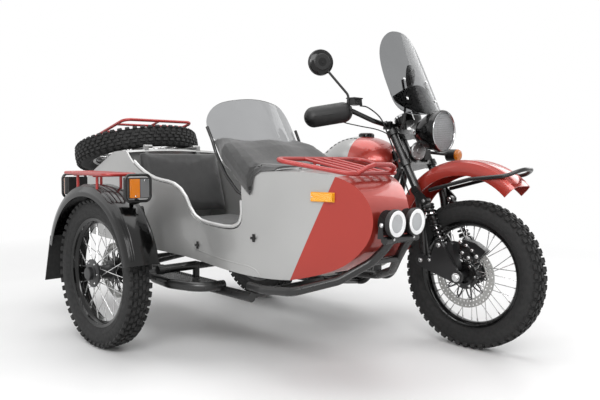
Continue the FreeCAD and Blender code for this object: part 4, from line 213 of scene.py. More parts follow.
def rubber(name, screen):
    """Black rubber with dust in its pores and paler scuffs."""
    t = Tree(name)
    base = linear(*screen)
    t.colour(t.mix(t.spread(t.noise(22.0, 6.0, 0.7), 0, 1, 0.35, 0.75), shade(base, 0.8), shade(base, 1.5)))
    t.roughness(0.68, 0.88, 60.0, 4.0)
    t.bump(t.noise(520.0, 3.0), 0.3, 0.0005)
    return t.material


def vinyl(name, screen):
    """Pebbled vinyl: leather cells, soft creases and a dull sheen."""
    t = Tree(name)
    base = linear(*screen)
    grain = t.cells(420.0)
    t.colour(t.mix(t.spread(grain, 0, 1, 0.0, 0.8), shade(base, 1.14), shade(base, 0.78)))
    t.roughness(0.56, 0.72, 30.0, 3.0)
    t.set(sheen_weight=0.25, sheen_roughness=0.5)
    creases = t.maths("MULTIPLY", t.noise(7.0, 3.0), 1.4)
    t.bump(t.maths("ADD", t.maths("MULTIPLY", grain, 0.5), creases), 0.35, 0.0012)
    return t.material


def weave(name, screen):
    """Coated canvas: crossed threads with small colour differences."""
    t = Tree(name)
    base = linear(*screen)
    threads = [t.spread(t.maths("SINE", t.along(way)), 0, 1, -1, 1) for way in THREADS]
    cloth = t.maths("MAXIMUM", *threads)
    t.colour(t.mix(t.spread(cloth, 0.0, 0.35, 0, 1),
                   t.mottle(base, 0.86, 1.16, 12.0, 5.0), shade(base, 0.6)))
    t.roughness(0.72, 0.9, 80.0, 3.0)
    t.set(sheen_weight=0.3, sheen_roughness=0.55)
    t.bump(cloth, 0.3, 0.0003)
    return t.material


def glass(name, screen, rough=0.03, ior=1.3, see_through=1.0, ribs=None):
    """Clear or tinted glass or lens plastic, with fine smears and optional prisms."""
    t = Tree(name)
    t.colour(t.mottle(linear(*screen), 0.96, 1.03, 5.0, 3.0))
    t.roughness(rough, rough + 0.05, 16.0, 5.0)
    t.set(transmission_weight=see_through, ior=ior)
    if ribs:
        t.bump(t.maths("SINE", t.along(ribs)), 0.5, 0.0008)
    else:
        t.bump(t.noise(40.0, 2.0), 0.02, 0.0004)
    return t.material


TERRACOTTA = (160, 47, 36)
SILVER = (166, 166, 165)
SPLIT_BLUR = 0.0006
PRISMS = (0, 1400, 900)
THREADS = ((900, 0, 0), (0, 900, 900))


def split_plane(x, z, slope):
    """Terracotta ahead of a slanting boundary through one point: its direction and its distance."""
    direction = Vector((1, 0, -slope)).normalized()
    return TERRACOTTA, tuple(direction), spot(x, 0, z).dot(direction)


LOOKS = {}
for kind, table in (
    (paint, {
        "terracotta": (TERRACOTTA, 0.45, 0.34, 0.7),
        "rack_red": ((158, 42, 38), 0.15, 0.4, 0.4),
        "silver": (SILVER, 0.6, 0.34, 0.6),
        "tub": (SILVER, 0.5, 0.36, 0.6, split_plane(1251, 399, 0.44)),
        "tank": (SILVER, 0.45, 0.34, 0.8, split_plane(845, 900, 0.12)),
        "bead": ((190, 190, 189), 0.5, 0.3, 0.6),
        "gloss_black": ((7, 7, 7), 0.0, 0.16, 0.3, None, 0.25),
    }),
    (coated, {
        "frame_black": ((13, 13, 13), 0.3, 500.0, 0.08, 0.2),
        "plastic": ((17, 17, 17), 0.46, 800.0, 0.25),
        "dark_metal": ((26, 26, 27), 0.4, 420.0, 0.2, 0.1),
        "white_ring": ((244, 245, 246), 0.35, 900.0, 0.05),
        "dial": ((226, 224, 214), 0.6, 900.0, 0.05),
        "red_paint": ((176, 24, 18), 0.4, 600.0, 0.1),
        "amber_edge": ((236, 164, 24), 0.4, 900.0, 0.1, 0.2),
    }),
    (bare_metal, {
        "steel": ((205, 205, 205), 0.2),
        "chrome": ((225, 225, 226), 0.08, 30.0, 0.03),
        "disc": ((176, 176, 174), 0.3, 260.0, 0.2),
        "alloy": ((150, 150, 150), 0.42, 240.0, 0.35),
        "exhaust": ((190, 188, 184), 0.16, 60.0, 0.08, (1, 8, 8)),
        "reflector": ((214, 214, 214), 0.14, 40.0, 0.05),
        "mirror": ((232, 234, 236), 0.02, 20.0, 0.0),
    }),
    (glass, {
        "amber": ((246, 138, 14), 0.06, 1.45, 0.35, PRISMS),
        "red": ((190, 12, 10), 0.06, 1.45, 0.5, PRISMS),
        "marker": ((252, 176, 20), 0.06, 1.45, 0.3, PRISMS),
        "clear_lamp": ((150, 151, 152), 0.1, 1.4, 0.55, PRISMS),
        # Headlamp and spot lamp lenses: half milky white, a painted reflection standing in for the bright
        # reflector behind clear glass.
        "lamp_face": ((226, 228, 230), 0.04, 1.4, 0.5, (0, 900, 900)),
        "screen": ((172, 173, 174), 0.02, 1.12),
        "dark_screen": ((138, 139, 140), 0.02, 1.12),
    }),
    (rubber, {"rubber": ((24, 24, 24),), "tyre": ((27, 27, 27),)}),
    (vinyl, {"seat": ((42, 42, 42),)}),
    (weave, {"apron": ((47, 47, 47),)}),
):
    for look, values in table.items():
        LOOKS[look] = kind(look, *values)


# Mesh building.

def turned_to(point, direction):
    """A place whose Y axis points along a direction."""
    y = Vector(direction).normalized()
    x = y.cross(Z if abs(y.z) < 0.9 else X).normalized()
    return Matrix.Translation(Vector(point)) @ Matrix((x, y, x.cross(y))).transposed().to_4x4()


def profile(*numbers):
    """An outline to spin, from pairs in millimetres: distance from the axis, distance along it."""
    return [(radius * MM, along * MM) for radius, along in zip(numbers[::2], numbers[1::2])]


def around(count, radius, along=0.0):
    """Evenly spread points on a circle about Y."""
    turns = [2 * math.pi * i / count for i in range(count)]
    return [Vector((radius * math.cos(turn), along, radius * math.sin(turn))) for turn in turns]


class Form:
    """Points, faces and each face's material, gathered before a mesh is made."""

    def __init__(self):
        self.points = []
        self.faces = []
        self.slots = []

    def add(self, points, faces, slot=0, at=None):
        if isinstance(at, Vector):
            at = Matrix.Translation(at)
        base = len(self.points)
        self.points += [at @ Vector(p) if at else Vector(p) for p in points]
        self.faces += [[base + i for i in face] for face in faces]
        self.slots += [slot] * len(faces)

    def spin(self, outline, count, slot=0, at=None, closed=True, caps=True):
        """Turn a (radius, along Y) outline about Y; closed joins its last point to its first."""
        at = at or Matrix()
        rows = [[at @ Vector((r * way.x, y, r * way.z)) for r, y in outline] for way in around(count, 1.0)]
        self.grid(rows + rows[:1], slot, closed)
        for k in (0, -1):
            if caps and not closed and outline[k][0] > 1e-7:
                self.add([row[k] for row in rows], [range(count)], slot)

    def dish(self, outline, count, slot, at):
        """Turn an open outline without end caps."""
        self.spin(outline, count, slot, at, False, False)

    def rod(self, start, end, radius, slot=0, sides=12, tip=None):
        """A round bar between two points, tapered where a tip radius is given."""
        start, end = Vector(start), Vector(end)
        outline = [(radius, 0), (radius if tip is None else tip, (end - start).length)]
        self.spin(outline, sides, slot, turned_to(start, end - start), False)

    def tube(self, line, radius, slot=0, sides=12, closed=False):
        """A round tube along a line of points, turned as little as possible."""
        line = [Vector(p) for p in line]
        count = len(line)
        radii = radius if isinstance(radius, list) else [radius] * count
        side = None
        rows = []
        for i, point in enumerate(line):
            before = line[i - 1] if i or closed else point
            after = line[(i + 1) % count] if i < count - 1 or closed else point
            run = (after - before).normalized()
            if side is None:
                side = run.cross(Z if abs(run.z) < 0.9 else X).normalized()
            side = (side - run * side.dot(run)).normalized()
            other = run.cross(side)
            rows.append([point + side * way.x + other * way.z for way in around(sides, radii[i])])
        self.grid(rows + rows[:1] if closed else rows, slot, True)
        for end in () if closed else (rows[0], rows[-1]):
            self.add(end, [range(sides)], slot)

    def block(self, low, high, slot=0, at=None, taper=1.0):
        """A box, narrowed towards its top by the taper."""
        x0, y0, z0 = low
        x1, y1, z1 = high
        mx, my = (x0 + x1) / 2, (y0 + y1) / 2
        points = []
        for z, t in ((z0, 1.0), (z1, taper)):
            for x, y in ((x0, y0), (x1, y0), (x1, y1), (x0, y1)):
                points.append((mx + (x - mx) * t, my + (y - my) * t, z))
        faces = [(3, 2, 1, 0), (4, 5, 6, 7), (0, 1, 5, 4), (1, 2, 6, 5), (2, 3, 7, 6), (3, 0, 4, 7)]
        self.add(points, faces, slot, at)

    def grid(self, rows, slot=0, closed=False):
        """A skin over equal rows of points; closed joins each row's end to its start."""
        count = len(rows[0])
        points = [p for row in rows for p in row]
        faces = []
        for i in range(len(rows) - 1):
            for k in range(count if closed else count - 1):
                m = (k + 1) % count
                faces.append((i * count + k, i * count + m, (i + 1) * count + m, (i + 1) * count + k))
        self.add(points, faces, slot)

    def bolt(self, at_point, direction, radius, height, slot=0):
        """A hexagon head on a washer."""
        at = turned_to(at_point, direction)
        washer = [(radius * 1.35, 0), (radius * 1.35, height * 0.25), (radius, height * 0.25)]
        self.spin([(0, 0)] + washer + [(0, height * 0.25)], 20, slot, at, False)
        self.spin([(0, height * 0.25), (radius, height * 0.25), (radius, height * 0.85),
                   (radius * 0.85, height), (0, height)], 6, slot, at, False)

    def make(self, name, looks, body="root", replaces=(), slot=None, smooth=35.0, at=None):
        """The finished object, riding on its body."""
        mesh = bpy.data.meshes.new(name)
        mesh.from_pydata([tuple(p) for p in self.points], [], self.faces)
        for look in looks:
            mesh.materials.append(LOOKS[look])
        mesh.polygons.foreach_set("material_index", self.slots)
        work = bmesh.new()
        work.from_mesh(mesh)
        bmesh.ops.remove_doubles(work, verts=work.verts, dist=0.000004)
        bmesh.ops.dissolve_degenerate(work, edges=work.edges, dist=0.000002)
        bmesh.ops.recalc_face_normals(work, faces=work.faces)
        work.to_mesh(mesh)
        work.free()
        return place_mesh(mesh, name, body, replaces, smooth, at)


BEVEL_ANGLE = math.radians(40.0)
NODE_EDGE = math.radians(32.0)
WELD_DISTANCE = 0.00002


def linked(name, data):
    """A new object in the scene."""
    piece = bpy.data.objects.new(name, data)
    bpy.context.scene.collection.objects.link(piece)
    return piece


def place_mesh(mesh, name, body="root", replaces=(), smooth=35.0, at=None):
    """A piece on its body, smooth except where its faces turn more than an angle."""
    mesh.polygons.foreach_set("use_smooth", [True] * len(mesh.polygons))
    mesh.set_sharp_from_angle(angle=math.radians(smooth))
    mesh.update()
    piece = linked(name, mesh)
    if at is not None:
        piece.matrix_world = at
    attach(piece, body)
    if replaces:
        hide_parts(*replaces)
    return piece


def soften(piece, width, segments=2):
    """Rounded edges wherever the faces turn sharply."""
    bevel = piece.modifiers.new("edges", "BEVEL")
    bevel.width = width
    bevel.segments = segments
    bevel.limit_method = "ANGLE"
    bevel.angle_limit = BEVEL_ANGLE


# Carried-over nodes: their finish and smooth shading.

NODE_LOOKS = {
    "disc": "front_disc rear_disc sidecar_disc",
    "frame_black": (
        "fork_frame fork_shocks fender_hoop handlebar motorcycle_frame swingarm shocks centre_stand "
        "spare_carrier screen_struts sidecar_chassis sidecar_swingarm step_bar bumper lamp_guards"),
    "dark_metal": "fork_links front_caliper crankcase cylinders spot_lamps",
    "terracotta": "front_fender rear_fender",
    "plastic": "hand_guards mirrors front_signals intakes tail_lamp foot_controls fender_lamps",
    "gloss_black": "headlamp instruments sidecar_fender",
    "dark_screen": "bike_screen",
    "exhaust": "exhausts",
    "tank": "fuel_tank",
    "seat": "saddle seat_cushion seat_back",
    "tub": "sidecar_tub",
    "silver": "trunk_lid",
    "rack_red": "luggage_rail nose_rack fender_rack",
    "bead": "cockpit_bead",
    "screen": "sidecar_screen",
    "apron": "apron",
    "rubber": "mudflap",
}


def dress_nodes():
    """Give every CAD node its one look and clean shading."""
    for look, names in NODE_LOOKS.items():
        for name in names.split():
            node = NODES[name]
            faces = node.data.polygons
            node.data.materials.clear()
            node.data.materials.append(LOOKS[look])
            faces.foreach_set("material_index", [0] * len(faces))
            faces.foreach_set("use_smooth", [True] * len(faces))
            node.modifiers.new("weld", "WELD").merge_threshold = WELD_DISTANCE
            node.modifiers.new("edges", "EDGE_SPLIT").split_angle = NODE_EDGE


# Wheels and tyres.

SPOKES = 36
SPOKE_CROSSING = math.radians(34.0)
TREAD_ROWS = 52
SHOULDER_LEAN = math.radians(-38.0)
RIM_SEAT = 0.240
OUTWARD = Matrix.Rotation(math.radians(90), 4, "Y")
WHEELS = {"front": (FRONT, -1, 0.147), "rear": (REAR, 1, 0.128), "sidecar": (SIDE, 1, 0.128)}


def spare_place():
    """The spare's middle and its tilt, lower at the rear."""
    at = Matrix.Translation(middle("spare_tyre"))
    return at @ Matrix.Rotation(math.radians(-15.0), 4, "Y") @ Matrix.Rotation(math.radians(90.0), 4, "X")


def mirrored(outline):
    """The other side of an outline, from its end back to its start."""
    return [(r, -y) for r, y in reversed(outline)]


def carcass_outline():
    """The tyre's section from one bead over the crown to the other, as (radius, along)."""
    top = TYRE_RADIUS - 0.0105
    side = profile(0.5, 31.5, 8, 33.5, 12, 40, 20, 45.5, 34, 50, 34.5, 50.8, 37, 51, 37.5, 50.2, 50,
                   51.6, 62, 50.8, 72, 48)
    crown = profile(-8, 44, -3, 33, 0, 18, 0.8, 0)
    half = [(RIM_SEAT + r, y) for r, y in side] + [(top + r, y) for r, y in crown]
    return half + mirrored(half[:-1])


def on_tread(turn, radius, across):
    """A place on the tyre: Z outward, Y across."""
    return Matrix.Rotation(-turn, 4, "Y") @ Matrix.Translation((radius, across, 0)) @ OUTWARD


def tyre_form():
    """Carcass, two staggered rows of crown blocks, and leaning shoulder blocks."""
    form = Form()
    form.spin(carcass_outline(), 128, 0)
    pitch = 2 * math.pi / TREAD_ROWS
    top = TYRE_RADIUS - 0.0008
    step = pitch * TYRE_RADIUS
    for i in range(TREAD_ROWS):
        turn = i * pitch
        for across, lag in ((-0.0085, 0.0), (0.0085, 0.5)):
            place = on_tread(turn + lag * pitch, top, across)
            form.block((-step * 0.35, -0.0075, -0.014), (step * 0.35, 0.0075, 0), 0, place, 0.86)
        for side, lag, shoulder in ((-1, 0.75, 0.0), (1, 0.25, 0.5)):
            place = on_tread(turn + lag * pitch, top, side * 0.0262)
            form.block((-step * 0.33, -0.0079, -0.016), (step * 0.33, 0.0079, -0.0022), 0, place, 0.86)
            place = on_tread(turn + shoulder * pitch, top - 0.0175, side * 0.0415)
            place = place @ Matrix.Rotation(SHOULDER_LEAN * side, 4, "X")
            form.block((-step * 0.31, -0.0085, -0.006), (step * 0.31, 0.0085, 0.0125), 0, place, 0.84)
    return form


def rim_outline():
    """The rim's closed section, with rolled flanges and a dropped well."""
    outer = profile(8.8, 36.6, 9, 34.5, 7.5, 32.5, 0.3, 32.2, -1, 21.5, -13, 11)
    inner = profile(-18, 8.5, -16.5, 14, -6.2, 23.5, -5, 33, 4, 35.2, 7, 36.8)
    return [(RIM_SEAT + r, y) for r, y in outer + mirrored(outer) + mirrored(inner) + inner]


def hub_outline():
    right = profile(10.5, 50, 30, 50, 33, 47, 34, 42, 47, 41.5, 50, 39.5, 50, 35.5, 47, 34,
                    36, 32, 32, 24, 31, 0)
    return right + mirrored(right[:-1])


def wheel_form():
    """Black rim and hub with bright crossed spokes and their nipples."""
    form = Form()
    form.spin(rim_outline(), 128, 0)
    form.spin(hub_outline(), 64, 1)
    for i in range(SPOKES):
        side = 1 if i % 2 else -1
        cross = 1 if i % 4 < 2 else -1
        turn = 2 * math.pi * i / SPOKES
        root = turn + cross * SPOKE_CROSSING
        start = Vector((0.0435 * math.cos(root), side * 0.0385, 0.0435 * math.sin(root)))
        end = Vector((0.2235 * math.cos(turn), side * 0.007, 0.2235 * math.sin(turn)))
        along = (end - start).normalized()
        form.rod(start, end, 0.0019, 2, 10)
        form.rod(end - along * 0.018, end + along * 0.004, 0.0031, 2, 8, 0.0036)
        head = start + Y * side * 0.0045
        form.rod(head, start - Y * side * 0.004, 0.0034, 2, 8)
    return form


def make_wheels():
    tyre = tyre_form()
    wheel = wheel_form()
    places = {name: (name + "_wheel_set", Matrix.Translation(WHEELS[name][0])) for name in WHEELS}
    places["spare"] = ("trunk", spare_place())
    for name, (body, at) in places.items():
        tyre.make(name + "_tyre_tread", ["tyre"], body, [name + "_tyre"], "tyre", 30.0, at)
        wheel.make(name + "_wire_wheel", ["gloss_black", "dark_metal", "steel"], body, [name + "_wheel"],
                   "wheel_black", 35.0, at)


# Brakes, springs and fork.

DISC_HALF = 0.0025
DISC_MIDDLE = 0.0655
DISC_CELLS = 44
DISC_HOLE = 0.0040


def drilled_ring(form, inner, outer, slot):
    """A flat ring about Y, drilled with two staggered rows of round holes."""
    middle_radius = (inner + outer) / 2
    edge = [(-1, -1), (0, -1), (1, -1), (1, 0), (1, 1), (0, 1), (-1, 1), (-1, 0)]
    for row, (low, high) in enumerate(((inner, middle_radius), (middle_radius, outer))):
        half = (high - low) / 2
        pitch = 2 * math.pi / DISC_CELLS
        for i in range(DISC_CELLS):
            centre = (i + row / 2) * pitch
            rim = [(low + half + v * half, centre + u * pitch / 2) for u, v in edge]
            hole = []
            for u, v in edge:
                size = math.hypot(u, v)
                hole.append((low + half + v / size * DISC_HOLE,
                             centre + u / size * DISC_HOLE / (low + half)))
            points = []
            for y in (-DISC_HALF, DISC_HALF):
                points += [(r * math.cos(a), y, r * math.sin(a)) for r, a in rim + hole]
            faces = []
            for k in range(8):
                m = (k + 1) % 8
                faces += [(k, m, 8 + m, 8 + k), (16 + m, 16 + k, 24 + k, 24 + m),
                          (8 + k, 8 + m, 24 + m, 24 + k)]
                if (k in (0, 1) and row == 0) or (k in (4, 5) and row == 1):
                    faces.append((m, k, 16 + k, 16 + m))
            form.add(points, faces, slot)


def disc_form(radius):
    """Drilled ring, black carrier with open loops, buttons and carrier bolts."""
    form = Form()
    inner = radius * 0.735
    drilled_ring(form, inner, radius, 0)
    for out in around(10, 1.0):
        side = out.cross(Y)
        form.tube([out * 0.058 - side * 0.011, out * (inner - 0.016) - side * 0.008, out * (inner - 0.001),
                   out * (inner - 0.016) + side * 0.008, out * 0.058 + side * 0.011], 0.0034, 1, 8)
        button = out * (inner - 0.002)
        form.rod(button - Y * 0.0045, button + Y * 0.0045, 0.0075, 1, 18)
        form.rod(button - Y * 0.0055, button + Y * 0.0055, 0.0040, 2, 14)
    form.spin(profile(40, -4, 62, -4, 63, 0, 62, 4, 40, 4), 64, 1)
    form.spin(profile(36, -12, 47, -12, 47, 12, 36, 12), 64, 1)
    return form


def make_discs():
    for name, (centre, side, radius) in WHEELS.items():
        at = Matrix.Translation(centre + Y * side * DISC_MIDDLE)
        form = disc_form(radius)
        for place in around(6, 0.0515, side * 0.004):
            form.bolt(place, Y * side, 0.0048, 0.004, 2)
        form.make(name + "_drilled_disc", ["disc", "frame_black", "steel"],
                  name + "_wheel_set", [name + "_disc"], "disc_steel", 30.0, at)


def eye_form(form, centre, half, radius):
    """A bushed shock eye across the machine, with its bolt heads."""
    at = Matrix.Translation(centre)
    bush, hole = radius * 0.62, radius * 0.36
    form.spin([(bush, -half), (radius, -half), (radius * 1.06, 0), (radius, half), (bush, half)], 28, 0, at)
    form.spin([(hole, -half * 1.02), (bush, -half), (bush, half), (hole, half * 1.02)], 24, 3, at)
    for side in (-1, 1):
        form.bolt(centre + Y * side * half, Y * side, radius * 0.5, 0.006, 4)


def shock_form(form, top, bottom, coil_radius, turns=7):
    """Damper, its chrome rod, a spring between two cups, and both eyes."""
    run = bottom - top
    length = run.length
    at = turned_to(top, run)
    start, end = length * 0.15, length * 0.85
    wire = 0.0052
    form.spin([(0.013, 0.012), (0.0175, 0.022), (0.0175, length * 0.52), (0.0155, length * 0.54)], 28, 0,
              at, False)
    form.spin([(0.0062, length * 0.5), (0.0062, length - 0.012)], 18, 1, at, False)
    for low, high in ((start - 0.012, start), (end, end + 0.012)):
        form.spin([(0.010, low), (coil_radius * 0.96, low), (coil_radius * 1.08, (low + high) / 2),
                   (coil_radius * 0.96, high), (0.010, high)], 36, 0, at)
    form.spin([(0.017, start + 0.030), (0.0215, start + 0.031), (0.0215, start + 0.040),
               (0.017, start + 0.041)],
              30, 1, at)
    line = []
    for i in range(turns * 18 + 1):
        share = i / (turns * 18)
        eased = share - 0.032 * math.sin(2 * math.pi * share)
        turn = 2 * math.pi * turns * share
        reach = coil_radius - wire
        line.append(at @ Vector((reach * math.cos(turn), start + (end - start) * eased,
                                 reach * math.sin(turn))))
    form.tube(line, wire, 2, 8)
    eye_form(form, top, 0.014, 0.0165)
    eye_form(form, bottom, 0.014, 0.0165)


SHOCK_LOOKS = ["frame_black", "chrome", "gloss_black", "rubber", "steel"]


def make_shocks():
    form = Form()
    for side in (-1, 1):
        shock_form(form, spot(1303, side * 105, 675), spot(1398, side * 105, 478), 0.027)
    form.make("fork_spring_dampers", SHOCK_LOOKS, "steering", ["fork_shocks"], "shock_black")
    form = Form()
    for side in (-1, 1):
        shock_form(form, spot(89.7, side * 184.4, 655.2), spot(0, side * 184.4, 342), 0.030, 9)
    shock_form(form, spot(360, -1120.5, 627), spot(390, -1135.5, 377), 0.030, 8)
    form.make("rear_spring_dampers", SHOCK_LOOKS, "root", ["shocks"], "shock_black")


FORK_NUTS = ((1303, 141.2, 397, 8.5, 9), (1495, 141.2, 342, 15, 13), (1398, 141.2, 478, 9, 9),
             (1352, 141.2, 404, 6, 6), (1240, 136.5, 1000, 10, 10), (1303, 124, 675, 8.5, 9))


def make_fork_bolts():
    """Bright nuts on the links, clamps, lamp ears and brake caliper."""
    form = Form()
    for side in (-1, 1):
        for x, y, z, size, height in FORK_NUTS:
            form.bolt(spot(x, side * y, z), Y * side, size * MM, height * MM, 0)
    for x, z, size in ((1503, 503, 7), (1533, 489, 6), (1562, 470, 6), (1585, 446, 7),
                       (1515, 455, 6), (1546, 436, 6)):
        form.bolt(spot(x, -125.3, z), -Y, size * MM, 0.005, 0)
    form.make("fork_nuts", ["steel"], "steering", (), "disc_steel")
    form = Form()
    outline = [(1499, 494), (1540, 486), (1590, 452), (1576, 432), (1535, 462), (1500, 470)]
    middle_x = sum(x for x, z in outline) / len(outline)
    middle_z = sum(z for x, z in outline) / len(outline)
    for outer, inner, grow in ((-125.3, -121.5, 1.0), (-129.0, -125.3, 0.82)):
        ring = [(middle_x + (x - middle_x) * grow, middle_z + (z - middle_z) * grow) for x, z in outline]
        rows = [[spot(x, y, z) for x, z in ring] for y in (outer, inner)]
        form.grid(rows, 0, True)
        form.add(rows[0], [tuple(range(len(ring)))], 0)
    soften(form.make("caliper_cover", ["gloss_black"], "steering", (), "gloss_black"), 0.0012)


# Lamps, gauge and mirrors.

LENS_RADIUS = 0.0922
LENS_RINGS = 26
LENS_PITCH = 0.0080
LENS_DOME = 0.0125
PRISM_HEIGHT = 0.0009
GUARD_PITCH = 0.0086


def lens_dome(point):
    """How far the headlamp's lens bulges at a point."""
    return LENS_DOME * (1 - (point.x ** 2 + point.z ** 2) / LENS_RADIUS ** 2)


def make_headlamp():
    """Bucket, chrome bezel, reflector, bulb shield and a lens pressed with small prisms."""
    at = turned_to(spot(1320, 0, 1002), X)
    form = Form()
    form.spin(profile(96, -10, 100, -10, 100, -26, 93, -30, 86, -74, 60, -119, 30, -131, 0, -134.5, 0, -130,
                      28, -127, 56, -115, 82, -72, 89, -30), 80, 0, at)
    form.spin(profile(94.5, -8, 95, 3, 97.5, 5, 100.5, 3, 102.2, -3, 102.2, -13, 100, -16, 95, -16), 80, 0,
              at)
    form.spin(profile(91.5, -8, 92, 2, 93.6, 4.5, 95, 3, 95, -8), 80, 1, at)
    form.dish(profile(93, -12, 88, -28, 72, -54, 48, -72, 22, -80, 0, -81), 64, 2, at)
    form.dish(profile(0, -30, 13, -32, 15, -40, 15, -62, 14, -62, 14, -42), 32, 1, at)
    for side in (-1, 1):
        form.rod(at @ Vector((side * 0.101, -0.045, 0)),
                 at @ Vector((side * 0.088, -0.045, 0)), 0.012, 0, 24)
    form.make("headlamp_bucket", ["gloss_black", "chrome", "reflector"], "steering",
              ["headlamp"], "gloss_black")
    lens = Form()
    rows = []
    for inside, order in ((0, range(LENS_RINGS + 1)), (1, range(LENS_RINGS, -1, -1))):
        for i in order:
            row = []
            for point in around(96, LENS_RADIUS * i / LENS_RINGS):
                u, v = (math.pi * c / LENS_PITCH for c in (point.x, point.z))
                prism = PRISM_HEIGHT * math.sin(u) * math.sin(v)
                point.y = lens_dome(point) - (0.0075 + prism if inside else 0.004 - prism * 0.6)
                row.append(at @ point)
            rows.append(row)
    lens.grid(rows, 0, True)
    # The lens is half milky white: a painted reflection of the bright reflector behind it.
    lens.make("headlamp_lens", ["lamp_face"], "steering", (), "clear_screen", 80.0)
    mesh = Form()
    for i in range(-10, 11):
        across = i * GUARD_PITCH
        reach = math.sqrt(0.0925 ** 2 - across ** 2)
        for lay in (0, 1):
            line = []
            for k in range(13):
                along = reach * (k / 6 - 1)
                point = Vector((across, 0, along) if lay else (along, 0, across))
                point.y = lens_dome(point) - 0.0018
                line.append(at @ point)
            mesh.tube(line, 0.00045, 0, 5)
    mesh.make("headlamp_mesh", ["dark_metal"], "steering", (), "gloss_black")


SPOT_LAMP_MIDDLE = -719.9


def make_spot_lamps():
    """Finned housings, white rings and half-clear faces made pale as a painted reflection, with small cells
    behind.
    """
    form = Form()
    lens = Form()
    for side in (-1, 1):
        y = SPOT_LAMP_MIDDLE + side * 61
        at = turned_to(spot(1639.9, y, 640), X)
        outline = profile(0, -60, 20, -60, 24, -56)
        for i in range(6):
            back = -0.054 + i * 0.0058
            outline += [(0.030, back), (0.047, back + 0.0006), (0.0475, back + 0.0030),
                        (0.031, back + 0.0036)]
        outline += profile(50, -19.5, 52, -17, 52, -2, 50.5, 0, 47.5, 0, 47, -4, 32.5, -6, 31.5, -14)
        form.dish(outline, 72, 0, at)
        form.spin(profile(32.5, -5.8, 34, 0.6, 37, 2.6, 46.2, 2.6, 48, 0.8, 47.2, -4), 72, 1, at)
        form.dish(profile(32.5, -12, 30, -16.5, 0, -17), 48, 2, at)
        for ring, count in ((0.0, 1), (0.0115, 6), (0.0235, 12)):
            for place in around(count, ring, -0.0165):
                cell = at @ Matrix.Translation(place)
                form.dish(profile(5.2, 10, 4.5, 3, 1.6, 0, 0, 0), 16, 2, cell)
                form.spin(profile(5.2, 10, 5.8, 10.2, 5.8, 0, 5.2, 0), 16, 2, cell)
        lens.spin(profile(0, 0.5, 17, 0, 32.8, -1.8, 32.8, -3.6, 17, -2, 0, -1.6), 72, 0, at)
        for k in (-1, 1):
            form.bolt(at @ Vector((k * 0.0545, -0.030, -0.004)),
                      at.to_3x3() @ Vector((k, 0, 0)), 0.0062, 0.005, 3)
        foot = spot(1606, y, 586)
        form.block((-0.016, -0.024, 0.0), (0.016, 0.024, 0.016), 0, foot - Z * 0.012, 0.8)
        for k in (-1, 1):
            form.block((-0.013, -0.0022, 0.0), (0.013, 0.0022, 0.046), 0, foot + Y * k * 0.054, 0.7)
        form.bolt(foot + Vector((0.017, 0, -0.004)), X, 0.0060, 0.005, 3)
    form.make("spot_lamp_housings", ["plastic", "white_ring", "reflector", "steel"], "root", ["spot_lamps"],
              "black_plastic", 30.0)
    lens.make("spot_lamp_lenses", ["lamp_face"], "root", (), "clear_screen")


def make_fender_lamps():
    """Two-part lamps in black housings: amber and clear in front, amber and red behind."""
    form = Form()
    for x, z, ahead, colours in ((600.6, 737.2, 1, (1, 2)), (41.7, 724.5, -1, (1, 3))):
        place = spot(x, -1226, z)
        near, far = sorted((ahead * 0.0195, ahead * 0.0330))
        form.block((-0.024, -0.047, -0.043), (0.024, 0.047, 0.043), 0, place)
        form.block((near - 0.001, -0.0012, -0.040), (far + 0.0006, 0.0008, 0.040), 0, place)
        for y, slot in zip((-0.0445, 0.0007), colours):
            form.block((near, y, -0.0395), (far, y + 0.0435, 0.0395), slot, place)
        for k in (-1, 1):
            form.bolt(place + Vector((ahead * 0.0330, k * 0.022, k * 0.033)), X * ahead, 0.0028, 0.002, 4)
    lamps = form.make("fender_lamp_lenses", ["plastic", "amber", "clear_lamp", "red", "steel"], "root",
                      ["fender_lamps"], "amber_lens")
    soften(lamps, 0.0035, 3)


def make_signals():
    """Left front signal and the tail lamp with its left signal."""
    form = Form()
    at = turned_to(spot(1259.6, 189, 889.9), X)
    form.dish(profile(29.5, 19.5, 29.8, 26, 27, 34, 18, 39, 0, 40.5), 40, 0, at)
    form.make("front_signal_lens", ["amber"], "steering", (), "amber_lens")
    form = Form()
    at = turned_to(spot(-341.6, 135.2, 587.9), -X)
    form.dish(profile(29.5, 30, 29.8, 36, 27, 42, 18, 46, 0, 47), 40, 0, at)
    form.make("rear_signal_lens", ["amber"], "root", (), "amber_lens")
    form = Form()
    low, high = spot(-384.5, -48, 564), spot(-376, 48, 612)
    form.block(low, high, 0)
    form.block((low.x - 0.001, low.y - 0.004, low.z - 0.004), (low.x + 0.004, high.y + 0.004, low.z), 1)
    form.block((low.x - 0.001, low.y - 0.004, high.z), (low.x + 0.004, high.y + 0.004, high.z + 0.004), 1)
    soften(form.make("tail_lens", ["red", "chrome"], "root", (), "red_lens"), 0.002)


def make_mirrors():
    """Mirror glass with a rubber edge, and ball joints on the stalks."""
    form = Form()
    turn = math.radians(25.0)
    for side in (-1, 1):
        facing = Vector((math.cos(turn), side * math.sin(turn), 0))
        plate = spot(854.6, side * 365.5, 1331.3)
        at = turned_to(plate - facing * 0.008, -facing)
        form.dish(profile(0, 0.4, 59, 0.4), 64, 0, at)
        form.spin(profile(58.5, 0, 59, 1.6, 62.2, 1.6, 63, -3, 62.2, -6, 60, -4), 64, 1, at)
        back = turned_to(plate + facing * 0.008, facing)
        form.dish(profile(62.2, -1, 60, 6, 50, 11.5, 30, 15.5, 0, 17), 64, 2, back)
        knee = spot(953.4, side * 272, 1105)
        form.spin(profile(13, 0, 13, 18, 8.5, 22, 8.5, 34, 6.2, 38), 24, 1,
                  turned_to(knee, Z), False)
        form.bolt(plate + facing * 0.0245 - Z * 0.002, facing, 0.005, 0.004, 1)
    form.make("mirror_faces", ["mirror", "rubber", "gloss_black"], "steering", (), "black_plastic")


